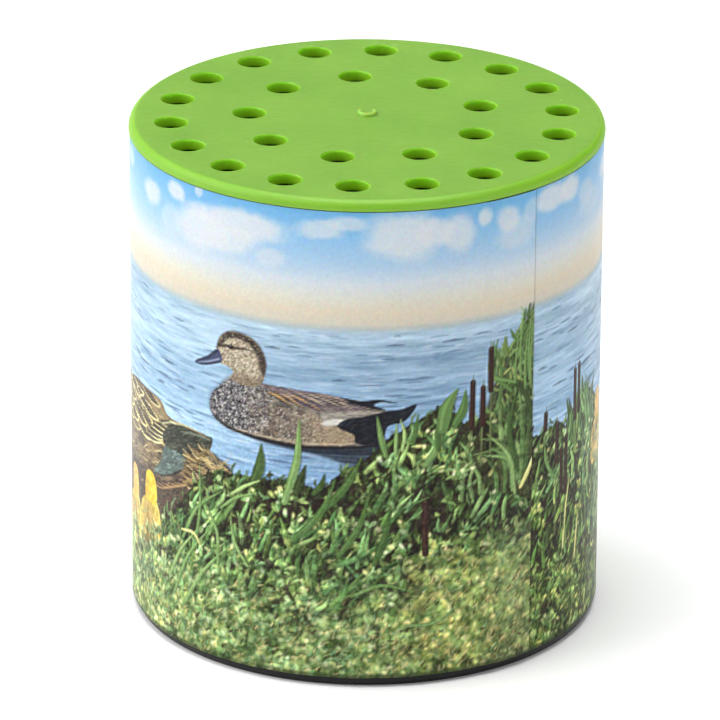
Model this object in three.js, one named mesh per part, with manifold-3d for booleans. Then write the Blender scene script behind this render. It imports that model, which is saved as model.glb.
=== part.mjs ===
// A duck-call sound box: a tin-shaped case that quacks when it is turned over and back.
// A steel weight sits on a bellows inside the case. Turned over, the weight drops away from the
// floor and the bellows fills; turned back, the bellows empties through a beating reed, and the
// sound leaves by the holes in the lid.
// Millimetres, +Z up. The origin is the centre of the foot, and the case stands on z = 0.
import * as THREE from "three";
import { mergeVertices } from "three/addons/utils/BufferGeometryUtils.js";
import Module from "manifold-3d";

const wasm = await Module();
wasm.setup();

// ---- driving dimensions --------------------------------------------------------------------
const OUTER_R = 30; // outside of the picture label, and of the lid's rim
const HEIGHT = 65.2; // foot to the flat top of the lid
const GAP = 0.1; // between pieces that rest on or in each other
const SIDES = 48; // facets round the large turned pieces
const SMALL_SIDES = 24; // facets round the reed and its tube

// case
const LABEL_T = 0.3;
const WALL_T = 1.5;
const BASE_BAND_H = 1.3; // the black edge that shows under the label
const BASE_EDGE_R = 0.7; // round of the case's lower edge
const FOOT_W = 2.4; // width of the ring that touches the table
const FLOOR_RECESS = 0.8;
const FLOOR_T = 1.6;
const COLLAR_R = 24.6; // inside of the low collar that centres the bellows
const COLLAR_T = 1.2;
const COLLAR_H = 1.8;

// lid
const LID_T = 1.4;
const LID_EDGE_R = 1.15; // round of the lid's upper edge
const SKIRT_T = 1.15;
const SKIRT_DEPTH = 5;
const HOLE_R = 2.05;
const HOLE_SIDES = 16;
const OUTER_RING = { count: 18, radius: 24.7, phase: 6 };
const INNER_RING = { count: 9, radius: 14.85, phase: 16 };
const GATE_MARK = { radius: 1.05, height: 0.3 };
const BUMPER = { inner: 17.6, outer: 21.9, thickness: 1.8 };

// bellows
const PLEATS = 5;
const PLEAT_H = 2;
const FOLD_IN_R = 20;
const FOLD_OUT_R = 24;
const SKIN_T = 0.5;
const NECK_H = 1.7;
const FLANGE_R = 23.3;
const CLAMP_T = 1.1;
const BELLOWS_SIDES = 32;

// the weighted sounder on top of the bellows
const PLATE_R = 23.6;
const PLATE_T = 1.8;
const BOSS_R = 8;
const BORE_R = 5.2;
const BOSS_H = 8.4; // above the plate
const CHAMBER_R = 8.2; // the tube below the plate that the reed hangs in
const CHAMBER_WALL = 1.3;
const WINDOW = { width: 6, height: 5 };
const WEIGHT = { outer: 22.5, height: 5.5 };
const CLIP = { outer: 11, thickness: 0.8 };
const PAD = { radius: 18, thickness: 1.6 };

// reed
const REED_TUBE = { outer: 3.2, inner: 2.2, length: 14.5 };
const REED_FLAT_X = 1.6; // the flat that the tongue beats on
const TONGUE = { width: 4.6, thickness: 0.3, length: 10.3, open: 2.5 };
const WEDGE_L = 3;
const HOLDER_L = 5;
const HORN = { mouth: 7.4, wall: 0.9, flare: 3.2 };

// ---- levels and radii worked out from them -------------------------------------------------
const LABEL_IN_R = OUTER_R - LABEL_T;
const CASE_R = LABEL_IN_R - GAP / 2;
const CASE_IN_R = CASE_R - WALL_T;
const FLOOR_Z = FLOOR_RECESS + FLOOR_T;
const LID_UNDER_Z = HEIGHT - LID_T;
const CASE_TOP_Z = LID_UNDER_Z - GAP;
const SKIRT_R = CASE_IN_R - GAP;

const BELLOWS_Z = FLOOR_Z + GAP;
const BELLOWS_H = 2 * (SKIN_T + NECK_H) + PLEATS * PLEAT_H;
const BELLOWS_TOP_Z = BELLOWS_Z + BELLOWS_H;
const LOWER_CLAMP_Z = BELLOWS_Z + SKIN_T + GAP;
const UPPER_CLAMP_Z = BELLOWS_TOP_Z - SKIN_T - GAP - CLAMP_T;

const PLATE_Z = BELLOWS_TOP_Z + GAP;
const PLATE_TOP_Z = PLATE_Z + PLATE_T;
const BOSS_TOP_Z = PLATE_TOP_Z + BOSS_H;
const WEIGHT_Z = PLATE_TOP_Z + GAP;
const CLIP_Z = WEIGHT_Z + WEIGHT.height + GAP;
const PAD_TOP_Z = BELLOWS_Z + PAD.thickness;
const CHAMBER_FOOT_Z = PAD_TOP_Z + GAP;

const HOLDER_Z = PLATE_Z;
const HOLDER_TOP_Z = HOLDER_Z + HOLDER_L;
const REED_TOP_Z = HOLDER_TOP_Z;
const REED_FOOT_Z = REED_TOP_Z - REED_TUBE.length;
const TONGUE_ROOT_Z = HOLDER_Z + (HOLDER_L - WEDGE_L) / 2;

// ---- solids --------------------------------------------------------------------------------
const rad = THREE.MathUtils.degToRad;

/** A ring or disc turned about Z from [radius, height] points, anticlockwise in the R-Z plane. */
function turned(points, sides = SIDES) {
  const onAxis = points[0][0] === 0;
  const outline = (onAxis ? points : [...points, points[0]]).map(([r, z]) => new THREE.Vector2(r, z));
  return new THREE.LatheGeometry(outline, sides).rotateX(Math.PI / 2);
}

/** A plain ring of rectangular section. */
function ring(inner, outer, low, high, sides = SIDES) {
  return turned([[inner, low], [outer, low], [outer, high], [inner, high]], sides);
}

/** A plain disc, or a solid bar, standing on z = low. */
function disc(radius, low, high, sides = SIDES) {
  return turned([[0, low], [radius, low], [radius, high], [0, high]], sides);
}

/** A box between two opposite corners. */
function block([x0, y0, z0], [x1, y1, z1]) {
  return new THREE.BoxGeometry(x1 - x0, y1 - y0, z1 - z0)
    .translate((x0 + x1) / 2, (y0 + y1) / 2, (z0 + z1) / 2);
}

function toSolid(geometry) {
  const bare = geometry.clone();
  bare.deleteAttribute("normal");
  bare.deleteAttribute("uv");
  const merged = mergeVertices(bare, 1e-4);
  return new wasm.Manifold(new wasm.Mesh({
    numProp: 3,
    vertProperties: merged.attributes.position.array,
    triVerts: new Uint32Array(merged.index.array),
  }));
}

function toGeometry(solid) {
  const { vertProperties, triVerts } = solid.getMesh();
  const geometry = new THREE.BufferGeometry();
  geometry.setAttribute("position", new THREE.BufferAttribute(vertProperties, 3));
  geometry.setIndex(new THREE.BufferAttribute(triVerts, 1));
  geometry.computeVertexNormals();
  return geometry;
}

/** One geometry with others joined to it and others cut from it. */
function shaped(base, { joins = [], cuts = [] }) {
  let solid = toSolid(base);
  for (const piece of joins) solid = solid.add(toSolid(piece));
  for (const piece of cuts) solid = solid.subtract(toSolid(piece));
  return toGeometry(solid);
}

/** Points of a quarter circle in the R-Z plane, from the start angle to the end angle. */
function arc(centreR, centreZ, radius, from, to, steps) {
  return Array.from({ length: steps + 1 }, (_, i) => {
    const angle = rad(from + ((to - from) * i) / steps);
    return [centreR + radius * Math.cos(angle), centreZ + radius * Math.sin(angle)];
  });
}

// ---- case ----------------------------------------------------------------------------------
function bodyCan() {
  const footR = OUTER_R - BASE_EDGE_R;
  return turned([
    [0, FLOOR_RECESS],
    [footR - FOOT_W, FLOOR_RECESS],
    [footR - FOOT_W, 0],
    ...arc(footR, BASE_EDGE_R, BASE_EDGE_R, -90, 0, 3),
    [OUTER_R, BASE_BAND_H],
    [CASE_R, BASE_BAND_H],
    [CASE_R, CASE_TOP_Z],
    [CASE_IN_R, CASE_TOP_Z],
    [CASE_IN_R, FLOOR_Z],
    [COLLAR_R + COLLAR_T, FLOOR_Z],
    [COLLAR_R + COLLAR_T, FLOOR_Z + COLLAR_H],
    [COLLAR_R, FLOOR_Z + COLLAR_H],
    [COLLAR_R, FLOOR_Z],
    [0, FLOOR_Z],
  ]);
}

function pictureLabel() {
  return ring(LABEL_IN_R, OUTER_R, BASE_BAND_H + GAP, CASE_TOP_Z);
}

// ---- lid -----------------------------------------------------------------------------------
function perforatedLid() {
  const edge = arc(OUTER_R - LID_EDGE_R, HEIGHT - LID_EDGE_R, LID_EDGE_R, 0, 90, 4);
  const cap = turned([
    [0, LID_UNDER_Z],
    [SKIRT_R - SKIRT_T, LID_UNDER_Z],
    [SKIRT_R - SKIRT_T, LID_UNDER_Z - SKIRT_DEPTH],
    [SKIRT_R - 0.3, LID_UNDER_Z - SKIRT_DEPTH],
    [SKIRT_R, LID_UNDER_Z - SKIRT_DEPTH + 0.8],
    [SKIRT_R, LID_UNDER_Z],
    [OUTER_R, LID_UNDER_Z],
    ...edge,
    [0, HEIGHT],
  ]);
  const gateMark = disc(GATE_MARK.radius, HEIGHT - 0.4, HEIGHT + GATE_MARK.height, HOLE_SIDES);
  const holes = [OUTER_RING, INNER_RING].flatMap(({ count, radius, phase }) =>
    Array.from({ length: count }, (_, i) => {
      const angle = rad(phase + (360 * i) / count);
      return disc(HOLE_R, LID_UNDER_Z - 1, HEIGHT + 1, HOLE_SIDES)
        .translate(radius * Math.cos(angle), radius * Math.sin(angle), 0);
    }));
  return shaped(cap, { joins: [gateMark], cuts: holes });
}

function lidBumper() {
  const top = LID_UNDER_Z - GAP;
  return ring(BUMPER.inner, BUMPER.outer, top - BUMPER.thickness, top);
}

// ---- bellows -------------------------------------------------------------------------------
/** A pleated sleeve of even thickness with a flat flange at each end. */
function bellowsSleeve() {
  const half = SKIN_T / 2;
  const lowFoldZ = BELLOWS_Z + SKIN_T + NECK_H;
  const highFoldZ = lowFoldZ + PLEATS * PLEAT_H;
  const topZ = BELLOWS_TOP_Z;
  const crease = (half * (FOLD_OUT_R - FOLD_IN_R)) / (PLEAT_H / 2); // how far a fold's hollow side sits back
  const outside = [];
  const inside = [];
  for (let i = 0; i < PLEATS; i += 1) {
    const ridgeZ = lowFoldZ + (i + 0.5) * PLEAT_H;
    const valleyZ = lowFoldZ + (i + 1) * PLEAT_H;
    outside.push([FOLD_OUT_R, ridgeZ - half], [FOLD_OUT_R, ridgeZ + half]);
    inside.push([FOLD_OUT_R - crease, ridgeZ]);
    if (i < PLEATS - 1) {
      outside.push([FOLD_IN_R + crease, valleyZ]);
      inside.push([FOLD_IN_R, valleyZ - half], [FOLD_IN_R, valleyZ + half]);
    }
  }
  const neckOut = FOLD_IN_R + SKIN_T;
  return turned([
    [FOLD_IN_R, BELLOWS_Z],
    [FLANGE_R, BELLOWS_Z],
    [FLANGE_R, BELLOWS_Z + SKIN_T],
    [neckOut, BELLOWS_Z + SKIN_T],
    [neckOut, lowFoldZ - half],
    ...outside,
    [neckOut, highFoldZ + half],
    [neckOut, topZ - SKIN_T],
    [FLANGE_R, topZ - SKIN_T],
    [FLANGE_R, topZ],
    [FOLD_IN_R, topZ],
    [FOLD_IN_R, highFoldZ],
    ...inside.reverse(),
    [FOLD_IN_R, lowFoldZ],
  ], BELLOWS_SIDES);
}

function bellowsClamp(low) {
  return ring(FOLD_IN_R + SKIN_T + 0.4, FLANGE_R + 0.9, low, low + CLAMP_T);
}

// ---- sounder -------------------------------------------------------------------------------
function headPlate() {
  const body = turned([
    [BORE_R, PLATE_Z],
    [CHAMBER_R - CHAMBER_WALL, PLATE_Z],
    [CHAMBER_R - CHAMBER_WALL, CHAMBER_FOOT_Z],
    [CHAMBER_R, CHAMBER_FOOT_Z],
    [CHAMBER_R, PLATE_Z],
    [PLATE_R, PLATE_Z],
    [PLATE_R, PLATE_TOP_Z],
    [BOSS_R, PLATE_TOP_Z],
    [BOSS_R, BOSS_TOP_Z],
    [BORE_R, BOSS_TOP_Z],
  ]);
  const windowZ = CHAMBER_FOOT_Z + 2;
  const window = block(
    [-CHAMBER_R - 1, -WINDOW.width / 2, windowZ],
    [CHAMBER_R + 1, WINDOW.width / 2, windowZ + WINDOW.height],
  );
  return shaped(body, { cuts: [window, window.clone().rotateZ(Math.PI / 2)] });
}

function weightRing() {
  const chamfer = 0.6;
  const inner = BOSS_R + 2 * GAP;
  const top = WEIGHT_Z + WEIGHT.height;
  return turned([
    [inner, WEIGHT_Z],
    [WEIGHT.outer - chamfer, WEIGHT_Z],
    [WEIGHT.outer, WEIGHT_Z + chamfer],
    [WEIGHT.outer, top - chamfer],
    [WEIGHT.outer - chamfer, top],
    [inner, top],
  ]);
}

function weightClip() {
  return ring(BOSS_R + GAP, CLIP.outer, CLIP_Z, CLIP_Z + CLIP.thickness);
}

function hornTube() {
  const outer = BORE_R - GAP;
  const inner = outer - HORN.wall;
  const low = HOLDER_TOP_Z + GAP;
  const flareZ = BOSS_TOP_Z + GAP;
  const top = flareZ + HORN.flare;
  return turned([
    [inner, low],
    [outer, low],
    [outer, flareZ],
    [HORN.mouth, top],
    [HORN.mouth - HORN.wall, top],
    [inner, flareZ],
  ]);
}

/** The half-round side of a bar of the given radius that lies beyond the plane x = from. */
function beyond(radius, from, low, high) {
  return shaped(disc(radius, low, high, SMALL_SIDES), {
    cuts: [block([-2 * radius, -2 * radius, low - 1], [from, 2 * radius, high + 1])],
  });
}

function reedHolder() {
  const bar = disc(BORE_R - GAP, HOLDER_Z, HOLDER_TOP_Z);
  const bore = disc(REED_TUBE.outer + GAP, HOLDER_Z - 1, HOLDER_TOP_Z + 1, SMALL_SIDES);
  return shaped(bar, { cuts: [bore] });
}

/** A tube closed at its foot, with a flat along one side that opens its bore. */
function reedShallot() {
  const bar = disc(REED_TUBE.outer, REED_FOOT_Z, REED_TOP_Z, SMALL_SIDES);
  const bore = disc(REED_TUBE.inner, REED_FOOT_Z + 1.2, REED_TOP_Z + 1, SMALL_SIDES);
  const reach = REED_TUBE.outer + 1;
  const aboveFlat = block([REED_FLAT_X, -reach, REED_FOOT_Z - 1], [reach, reach, REED_TOP_Z - 1]);
  return shaped(bar, { cuts: [bore, aboveFlat] });
}

function reedWedge() {
  const from = REED_FLAT_X + TONGUE.thickness + 3 * GAP;
  return beyond(REED_TUBE.outer - GAP, from, TONGUE_ROOT_Z, TONGUE_ROOT_Z + WEDGE_L);
}

/** A strip gripped at its top and bent away from the flat below the grip. */
function reedTongue() {
  const grip = 1.6;
  const near = REED_FLAT_X + 1.5 * GAP;
  const far = near + TONGUE.thickness;
  const lean = TONGUE.length * Math.sin(rad(TONGUE.open));
  const tipZ = TONGUE_ROOT_Z - TONGUE.length * Math.cos(rad(TONGUE.open));
  const side = new THREE.Shape([
    [near, TONGUE_ROOT_Z + grip],
    [near, TONGUE_ROOT_Z],
    [near + lean, tipZ],
    [far + lean, tipZ],
    [far, TONGUE_ROOT_Z],
    [far, TONGUE_ROOT_Z + grip],
  ].map(([x, z]) => new THREE.Vector2(x, z)));
  return new THREE.ExtrudeGeometry(side, { depth: TONGUE.width, bevelEnabled: false })
    .rotateX(Math.PI / 2)
    .translate(0, TONGUE.width / 2, 0);
}

// ---- materials -----------------------------------------------------------------------------
function plastic(color, roughness) {
  return new THREE.MeshStandardMaterial({ color, roughness, metalness: 0 });
}

function metal(color, roughness) {
  return new THREE.MeshStandardMaterial({ color, roughness, metalness: 1 });
}

// ---- assembly ------------------------------------------------------------------------------
function piece(name, geometry, material) {
  const mesh = new THREE.Mesh(geometry, material);
  mesh.name = name;
  return mesh;
}

const caseGroup = new THREE.Group();
caseGroup.add(
  piece("body_can", bodyCan(), plastic(0x1b1b1e, 0.5)),
  piece("picture_label", pictureLabel(), plastic(0x8fb3c9, 0.35)),
  piece("floor_pad", disc(PAD.radius, BELLOWS_Z, PAD_TOP_Z), plastic(0x6b6a66, 0.95)),
  piece("bellows_lower_clamp", bellowsClamp(LOWER_CLAMP_Z), plastic(0xd8d5cb, 0.5)),
  piece("bellows", bellowsSleeve(), plastic(0x7d2f26, 0.7)),
);

const lidGroup = new THREE.Group();
lidGroup.add(
  piece("perforated_lid", perforatedLid(), plastic(0x6fb52a, 0.45)),
  piece("lid_bumper_ring", lidBumper(), plastic(0x3a3a3c, 0.95)),
);

const reedGroup = new THREE.Group();
reedGroup.add(
  piece("reed_holder", reedHolder(), plastic(0xd8d5cb, 0.5)),
  piece("reed_shallot", reedShallot(), plastic(0xb7352b, 0.4)),
  piece("reed_wedge", reedWedge(), plastic(0xd8d5cb, 0.5)),
  piece("reed_tongue", reedTongue(), metal(0xc9a24a, 0.3)),
);

const sounderGroup = new THREE.Group();
sounderGroup.add(
  piece("bellows_head_plate", headPlate(), plastic(0xe3e0d6, 0.5)),
  piece("bellows_upper_clamp", bellowsClamp(UPPER_CLAMP_Z), plastic(0xd8d5cb, 0.5)),
  piece("weight_ring", weightRing(), metal(0x9a9c9e, 0.4)),
  piece("weight_clip", weightClip(), metal(0xb4b6b8, 0.3)),
  piece("horn_tube", hornTube(), plastic(0xe3e0d6, 0.5)),
  reedGroup,
);

const soundBox = new THREE.Group();
soundBox.name = "duck_call_sound_box";
soundBox.add(caseGroup, lidGroup, sounderGroup);

export default soundBox;
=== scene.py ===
"""Looks of a turn-over duck call: a can with a printed paper label, a pierced lid and a bellows inside.

Millimetres are used throughout and turned into metres where meshes are made. The label's picture
is painted by code into a colour attribute, over a flat canvas that wraps round the case.
"""

import math

import bmesh
import bpy
import numpy as np
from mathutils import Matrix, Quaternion, Vector
from mathutils.geometry import delaunay_2d_cdt


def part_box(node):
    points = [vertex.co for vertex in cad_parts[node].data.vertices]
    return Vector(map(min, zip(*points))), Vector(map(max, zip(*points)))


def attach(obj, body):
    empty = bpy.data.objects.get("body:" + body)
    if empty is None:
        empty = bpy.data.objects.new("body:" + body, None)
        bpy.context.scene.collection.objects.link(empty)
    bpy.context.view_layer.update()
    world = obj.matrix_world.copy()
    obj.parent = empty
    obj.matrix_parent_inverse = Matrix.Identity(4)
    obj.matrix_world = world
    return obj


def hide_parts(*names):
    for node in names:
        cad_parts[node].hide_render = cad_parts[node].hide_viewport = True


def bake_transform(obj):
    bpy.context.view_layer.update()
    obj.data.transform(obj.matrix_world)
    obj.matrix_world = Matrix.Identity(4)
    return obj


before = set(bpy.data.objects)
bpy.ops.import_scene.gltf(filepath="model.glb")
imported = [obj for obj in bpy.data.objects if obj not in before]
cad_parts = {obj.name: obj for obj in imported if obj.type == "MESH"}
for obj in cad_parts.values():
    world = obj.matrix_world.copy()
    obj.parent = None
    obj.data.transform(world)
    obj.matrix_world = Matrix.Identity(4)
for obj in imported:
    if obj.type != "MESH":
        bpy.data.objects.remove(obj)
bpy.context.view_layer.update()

MM = 0.001
FINE_TURNS = 240  # facets round the case and the lid
SLEEVE_TURNS = 200  # facets round the bellows and the weight
TURNS = 160  # facets round the other turned pieces
SMALL_TURNS = 64  # facets round the reed's parts


def box_mm(node):
    """A CAD node's lowest and highest corners in millimetres."""
    low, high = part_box(node)
    return low / MM, high / MM


# ---- camera ----
LENS = 348.5
SENSOR = 36.0
DISTANCE = 0.889
ELEVATION = math.radians(22.34)
ROLL = math.radians(0.33)
MIDDLE = Vector((0, 0, 0.030))
AIM_RIGHT, AIM_UP = -0.000714, 0.00199  # how far the middle of the view lies from MIDDLE


def make_camera():
    """The view the photograph was taken from."""
    back = Vector((0, -math.cos(ELEVATION), math.sin(ELEVATION)))
    up = Vector((0, math.sin(ELEVATION), math.cos(ELEVATION)))
    camera = bpy.data.objects.new("camera", bpy.data.cameras.new("camera"))
    bpy.context.scene.collection.objects.link(camera)
    camera.data.lens = LENS
    camera.data.sensor_width = SENSOR
    camera.data.clip_end = 100
    camera.location = MIDDLE + DISTANCE * back
    aim = MIDDLE + Vector((AIM_RIGHT, 0, 0)) + AIM_UP * up
    camera.rotation_mode = "QUATERNION"
    turn = (aim - camera.location).to_track_quat("-Z", "Y")
    camera.rotation_quaternion = turn @ Quaternion((0, 0, 1), ROLL)
    bpy.context.scene.camera = camera


make_camera()


# ---- the label's place ----
OUTER_R = round(box_mm("picture_label")[1].x, 3)
LABEL_LOW, LABEL_HIGH = (round(corner.z, 3) for corner in box_mm("picture_label"))
SEAM_U = 23.0  # where the label's end lies, measured round the case from its front
WRAP = 2 * math.pi * OUTER_R
PICTURE_LEFT = SEAM_U - WRAP
BLEED = 0.1  # how far the picture is drawn past the label's lower and upper edges
CANVAS_LOW, CANVAS_HIGH = round(LABEL_LOW - BLEED, 3), round(LABEL_HIGH + BLEED, 3)


# ---- canvas ----
class Canvas:
    """A flat picture measured in millimetres: u runs round the case to the right, z runs up it."""

    def __init__(self, u_low, u_high, z_low, z_high, fine):
        self.fine = fine
        wide = int(round((u_high - u_low) * fine))
        tall = int(round((z_high - z_low) * fine))
        self.u = (u_low + (np.arange(wide) + 0.5) / fine).astype(np.float32)[None, :]
        self.z = (z_low + (np.arange(tall) + 0.5) / fine).astype(np.float32)[:, None]
        self.rgb = np.zeros((tall, wide, 3), np.float32)

    def window(self, low_u, high_u, low_z, high_z):
        """The rows and columns of a box, cut to the canvas, or None outside it."""
        pad = 1.5 / self.fine
        cols = np.searchsorted(self.u[0], (low_u - pad, high_u + pad))
        rows = np.searchsorted(self.z[:, 0], (low_z - pad, high_z + pad))
        if cols[0] == cols[1] or rows[0] == rows[1]:
            return None
        return slice(*rows), slice(*cols)

    def lay(self, where, colour, cover):
        """Mixes a colour, or an array of colours, over the window by how far it covers."""
        spot = self.rgb[where]
        spot += (np.asarray(colour, np.float32) - spot) * cover[..., None]

    def wash(self, colour, cover):
        """Lays a colour over the whole canvas."""
        self.lay((slice(None), slice(None)), colour, cover)


def rgb(*values):
    """A colour from 0 to 255 values, on a scale of 0 to 1."""
    return np.array(values, np.float32) / 255.0


def smooth(low, high, x):
    """Runs smoothly from 0 at low to 1 at high."""
    t = np.clip((x - low) / (high - low), 0.0, 1.0)
    return t * t * (3.0 - 2.0 * t)


def grain(rng, shape, cell, octaves=3, gain=0.5):
    """Cloudy noise from 0 to 1. cell is the (rows, columns) size of its largest lumps, in dots."""
    total = np.zeros(shape, np.float32)
    weight, norm = 1.0, 0.0
    cell = np.array(cell, float)
    for _ in range(octaves):
        rows = int(shape[0] / cell[0]) + 3
        cols = int(shape[1] / cell[1]) + 3
        grid = rng.random((rows, cols), dtype=np.float32)
        y = np.arange(shape[0]) / cell[0]
        x = np.arange(shape[1]) / cell[1]
        yi, xi = y.astype(int), x.astype(int)
        fy = smooth(0, 1, y - yi)[:, None]
        fx = smooth(0, 1, x - xi)[None, :]
        low = grid[yi][:, xi] * (1 - fx) + grid[yi][:, xi + 1] * fx
        high = grid[yi + 1][:, xi] * (1 - fx) + grid[yi + 1][:, xi + 1] * fx
        total += weight * (low * (1 - fy) + high * fy).astype(np.float32)
        norm += weight
        weight *= gain
        cell = np.maximum(cell / 2, 1.0)
    return total / norm


# ---- marks ----
def spline(a, b, c, d, steps):
    """Points on the smooth line through a, b, c and d, from b up to c."""
    t = np.linspace(0, 1, steps, endpoint=False)[:, None]
    square, cube = 2 * a - 5 * b + 4 * c - d, 3 * b - a - 3 * c + d
    return 0.5 * (2 * b + (c - a) * t + square * t**2 + cube * t**3)


def curve(points, steps=4):
    """A smooth open line through a few points."""
    p = np.array(points, float)
    p = np.vstack([2 * p[0] - p[1], p, 2 * p[-1] - p[-2]])
    parts = [spline(*four, steps) for four in zip(p, p[1:], p[2:], p[3:])]
    return np.vstack([*parts, p[-2:-1]])


def outline(points, steps=5):
    """A smooth closed outline through a few points."""
    p = np.array(points, float)
    n = len(p)
    corners = [(p[i - 1], p[i], p[(i + 1) % n], p[(i + 2) % n]) for i in range(n)]
    return np.vstack([spline(*four, steps) for four in corners])


def stroke(canvas, points, widths, colour, strength=1.0, blur=0.0):
    """A line whose width runs evenly through widths from its start to its end."""
    p = np.asarray(points, np.float32)
    w = np.interp(np.linspace(0, 1, len(p)), np.linspace(0, 1, len(widths)), widths).astype(np.float32) / 2
    pad = w.max() + blur
    us, zs = p.T
    where = canvas.window(us.min() - pad, us.max() + pad, zs.min() - pad, zs.max() + pad)
    if where is None:
        return
    u, z = canvas.u[:, where[1]], canvas.z[where[0]]
    near = np.full((z.shape[0], u.shape[1]), -1e3, np.float32)
    for (ax, ay), (bx, by), wa, wb in zip(p, p[1:], w, w[1:]):
        dx, dy = bx - ax, by - ay
        t = np.clip(((u - ax) * dx + (z - ay) * dy) / (dx * dx + dy * dy + 1e-9), 0, 1)
        gap = np.sqrt((u - ax - t * dx) ** 2 + (z - ay - t * dy) ** 2)
        np.maximum(near, wa + (wb - wa) * t - gap, out=near)
    edge = 0.5 / canvas.fine + blur
    canvas.lay(where, colour, strength * smooth(-edge, edge, near))


def inside(canvas, shape, blur=0.0):
    """The window round a closed outline, and how far each dot in it lies inside (1) or out (0)."""
    p = np.asarray(shape, np.float32)
    us, zs = p.T
    where = canvas.window(us.min() - blur, us.max() + blur, zs.min() - blur, zs.max() + blur)
    if where is None:
        return None, None
    u, z = canvas.u[:, where[1]], canvas.z[where[0]]
    near = np.full((z.shape[0], u.shape[1]), 1e3, np.float32)
    within = np.zeros(near.shape, bool)
    for (ax, ay), (bx, by) in zip(p, np.roll(p, -1, axis=0)):
        dx, dy = bx - ax, by - ay
        t = np.clip(((u - ax) * dx + (z - ay) * dy) / (dx * dx + dy * dy + 1e-9), 0, 1)
        np.minimum(near, (u - ax - t * dx) ** 2 + (z - ay - t * dy) ** 2, out=near)
        if ay != by:
            within ^= ((ay > z) != (by > z)) & (u < ax + (z - ay) * dx / dy)
    near = np.sqrt(near)
    edge = 0.5 / canvas.fine + blur
    return where, smooth(-edge, edge, np.where(within, near, -near))


def fill(canvas, shape, colour, strength=1.0, blur=0.0):
    """Fills a closed outline."""
    where, cover = inside(canvas, shape, blur)
    if where is not None:
        canvas.lay(where, colour, strength * cover)


def oval(u, z, half_u, half_z, turn=0.0, count=16):
    """Points of a turned oval."""
    a = np.linspace(0, 2 * np.pi, count, endpoint=False)
    x, y = half_u * np.cos(a), half_z * np.sin(a)
    c, s = math.cos(turn), math.sin(turn)
    return np.stack([u + x * c - y * s, z + x * s + y * c], 1)


# ---- sky and water ----
HORIZON = 48.1
SKY = [  # height on the case and colour, from the horizon up
    (48, (168, 183, 187)),
    (49, (207, 200, 184)),
    (50.6, (215, 204, 182)),
    (52.4, (213, 212, 200)),
    (54.4, (204, 213, 220)),
    (56.5, (172, 200, 223)),
    (59.5, (142, 188, 224)),
    (63.8, (108, 172, 219)),
]
# Lumps that make the clouds: middle u and z, half width, half height, strength.
CLOUDS = [
    (-17, 60.4, 6.2, 1.9, 0.95), (-22.8, 58.6, 4.2, 2.6, 0.95), (-18.4, 58.3, 3.6, 1.8, 0.9),
    (-12.4, 56.9, 1.9, 1.2, 0.6), (-33.2, 60.2, 2.3, 1.5, 0.85), (-27.3, 62.2, 1.6, 1.1, 0.9),
    (-23, 63.4, 0.7, 0.8, 0.7), (-28.5, 58, 2.2, 2, 0.45), (-5.8, 61.3, 2.9, 1.2, 0.75),
    (-2.4, 62.2, 2.3, 0.9, 0.7), (4.4, 60.5, 4.3, 3, 0.9), (8.4, 60.8, 2.4, 1.6, 0.8),
    (11.4, 60.4, 2.2, 2.3, 0.85), (15, 61.8, 1, 1.1, 0.9), (18.4, 61, 1.7, 1.6, 0.85),
    (19.6, 58.9, 2.8, 1.8, 0.55), (22.6, 61.2, 1.6, 1.6, 0.5), (-162, 61.9, 3.4, 1.6, 0.9),
    (-158.4, 62, 2, 1.7, 0.9), (-154, 60, 2.1, 1.6, 0.5), (-152, 58.2, 3.4, 1.6, 0.4),
    (-143, 60.6, 4.8, 1.7, 0.85), (-138.5, 59.6, 3, 2.1, 0.8), (-131, 62.2, 1.7, 1.1, 0.85),
    (-124, 58.9, 5.2, 1.9, 0.75), (-119, 60.7, 3.4, 2.2, 0.85), (-110, 62, 2.4, 1.2, 0.8),
    (-104.5, 58, 2.6, 1.2, 0.5), (-97, 60.8, 4.6, 2.3, 0.9), (-91.5, 60, 3.2, 1.7, 0.8),
    (-84, 61.9, 1.4, 1.2, 0.85), (-76, 59.4, 5, 2, 0.8), (-70.5, 60.9, 3, 2, 0.9),
    (-62, 62.2, 2.2, 1.1, 0.7), (-55, 59.4, 4.6, 2.2, 0.8), (-49.8, 60.8, 2.6, 1.6, 0.85),
    (-42, 61.8, 1.8, 1.2, 0.6),
]
CLOUD = rgb(212, 217, 222)
RIPPLE = rgb(92, 118, 150)
GLINT = rgb(205, 222, 232)
CRISPNESS = 0.7


def paint_sky(art, rng):
    """Bands of sky that drift up and down a little, with ragged clouds."""
    heights = [h for h, _ in SKY]
    drift = 0.9 * (grain(rng, art.rgb.shape[:2], (40, 160)) - 0.5)
    shifted = np.clip(art.z + drift, heights[0], heights[-1])
    for i in range(3):
        art.rgb[..., i] = np.interp(shifted, heights, [c[i] for _, c in SKY]) / 255
    ragged = grain(rng, art.rgb.shape[:2], (22, 26), 4, 0.6)
    for u, z, half_u, half_z, strength in CLOUDS:
        where = art.window(u - 1.7 * half_u, u + 1.7 * half_u, z - 1.8 * half_z, z + 1.8 * half_z)
        if where is None:
            continue
        reach = np.hypot((art.u[:, where[1]] - u) / half_u, (art.z[where[0]] - z) / half_z)
        cover = 0.94 * strength * (1 - smooth(0.62, 1.42, reach + 0.5 * (ragged[where] - 0.5)))
        art.lay(where, CLOUD, cover)


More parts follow.
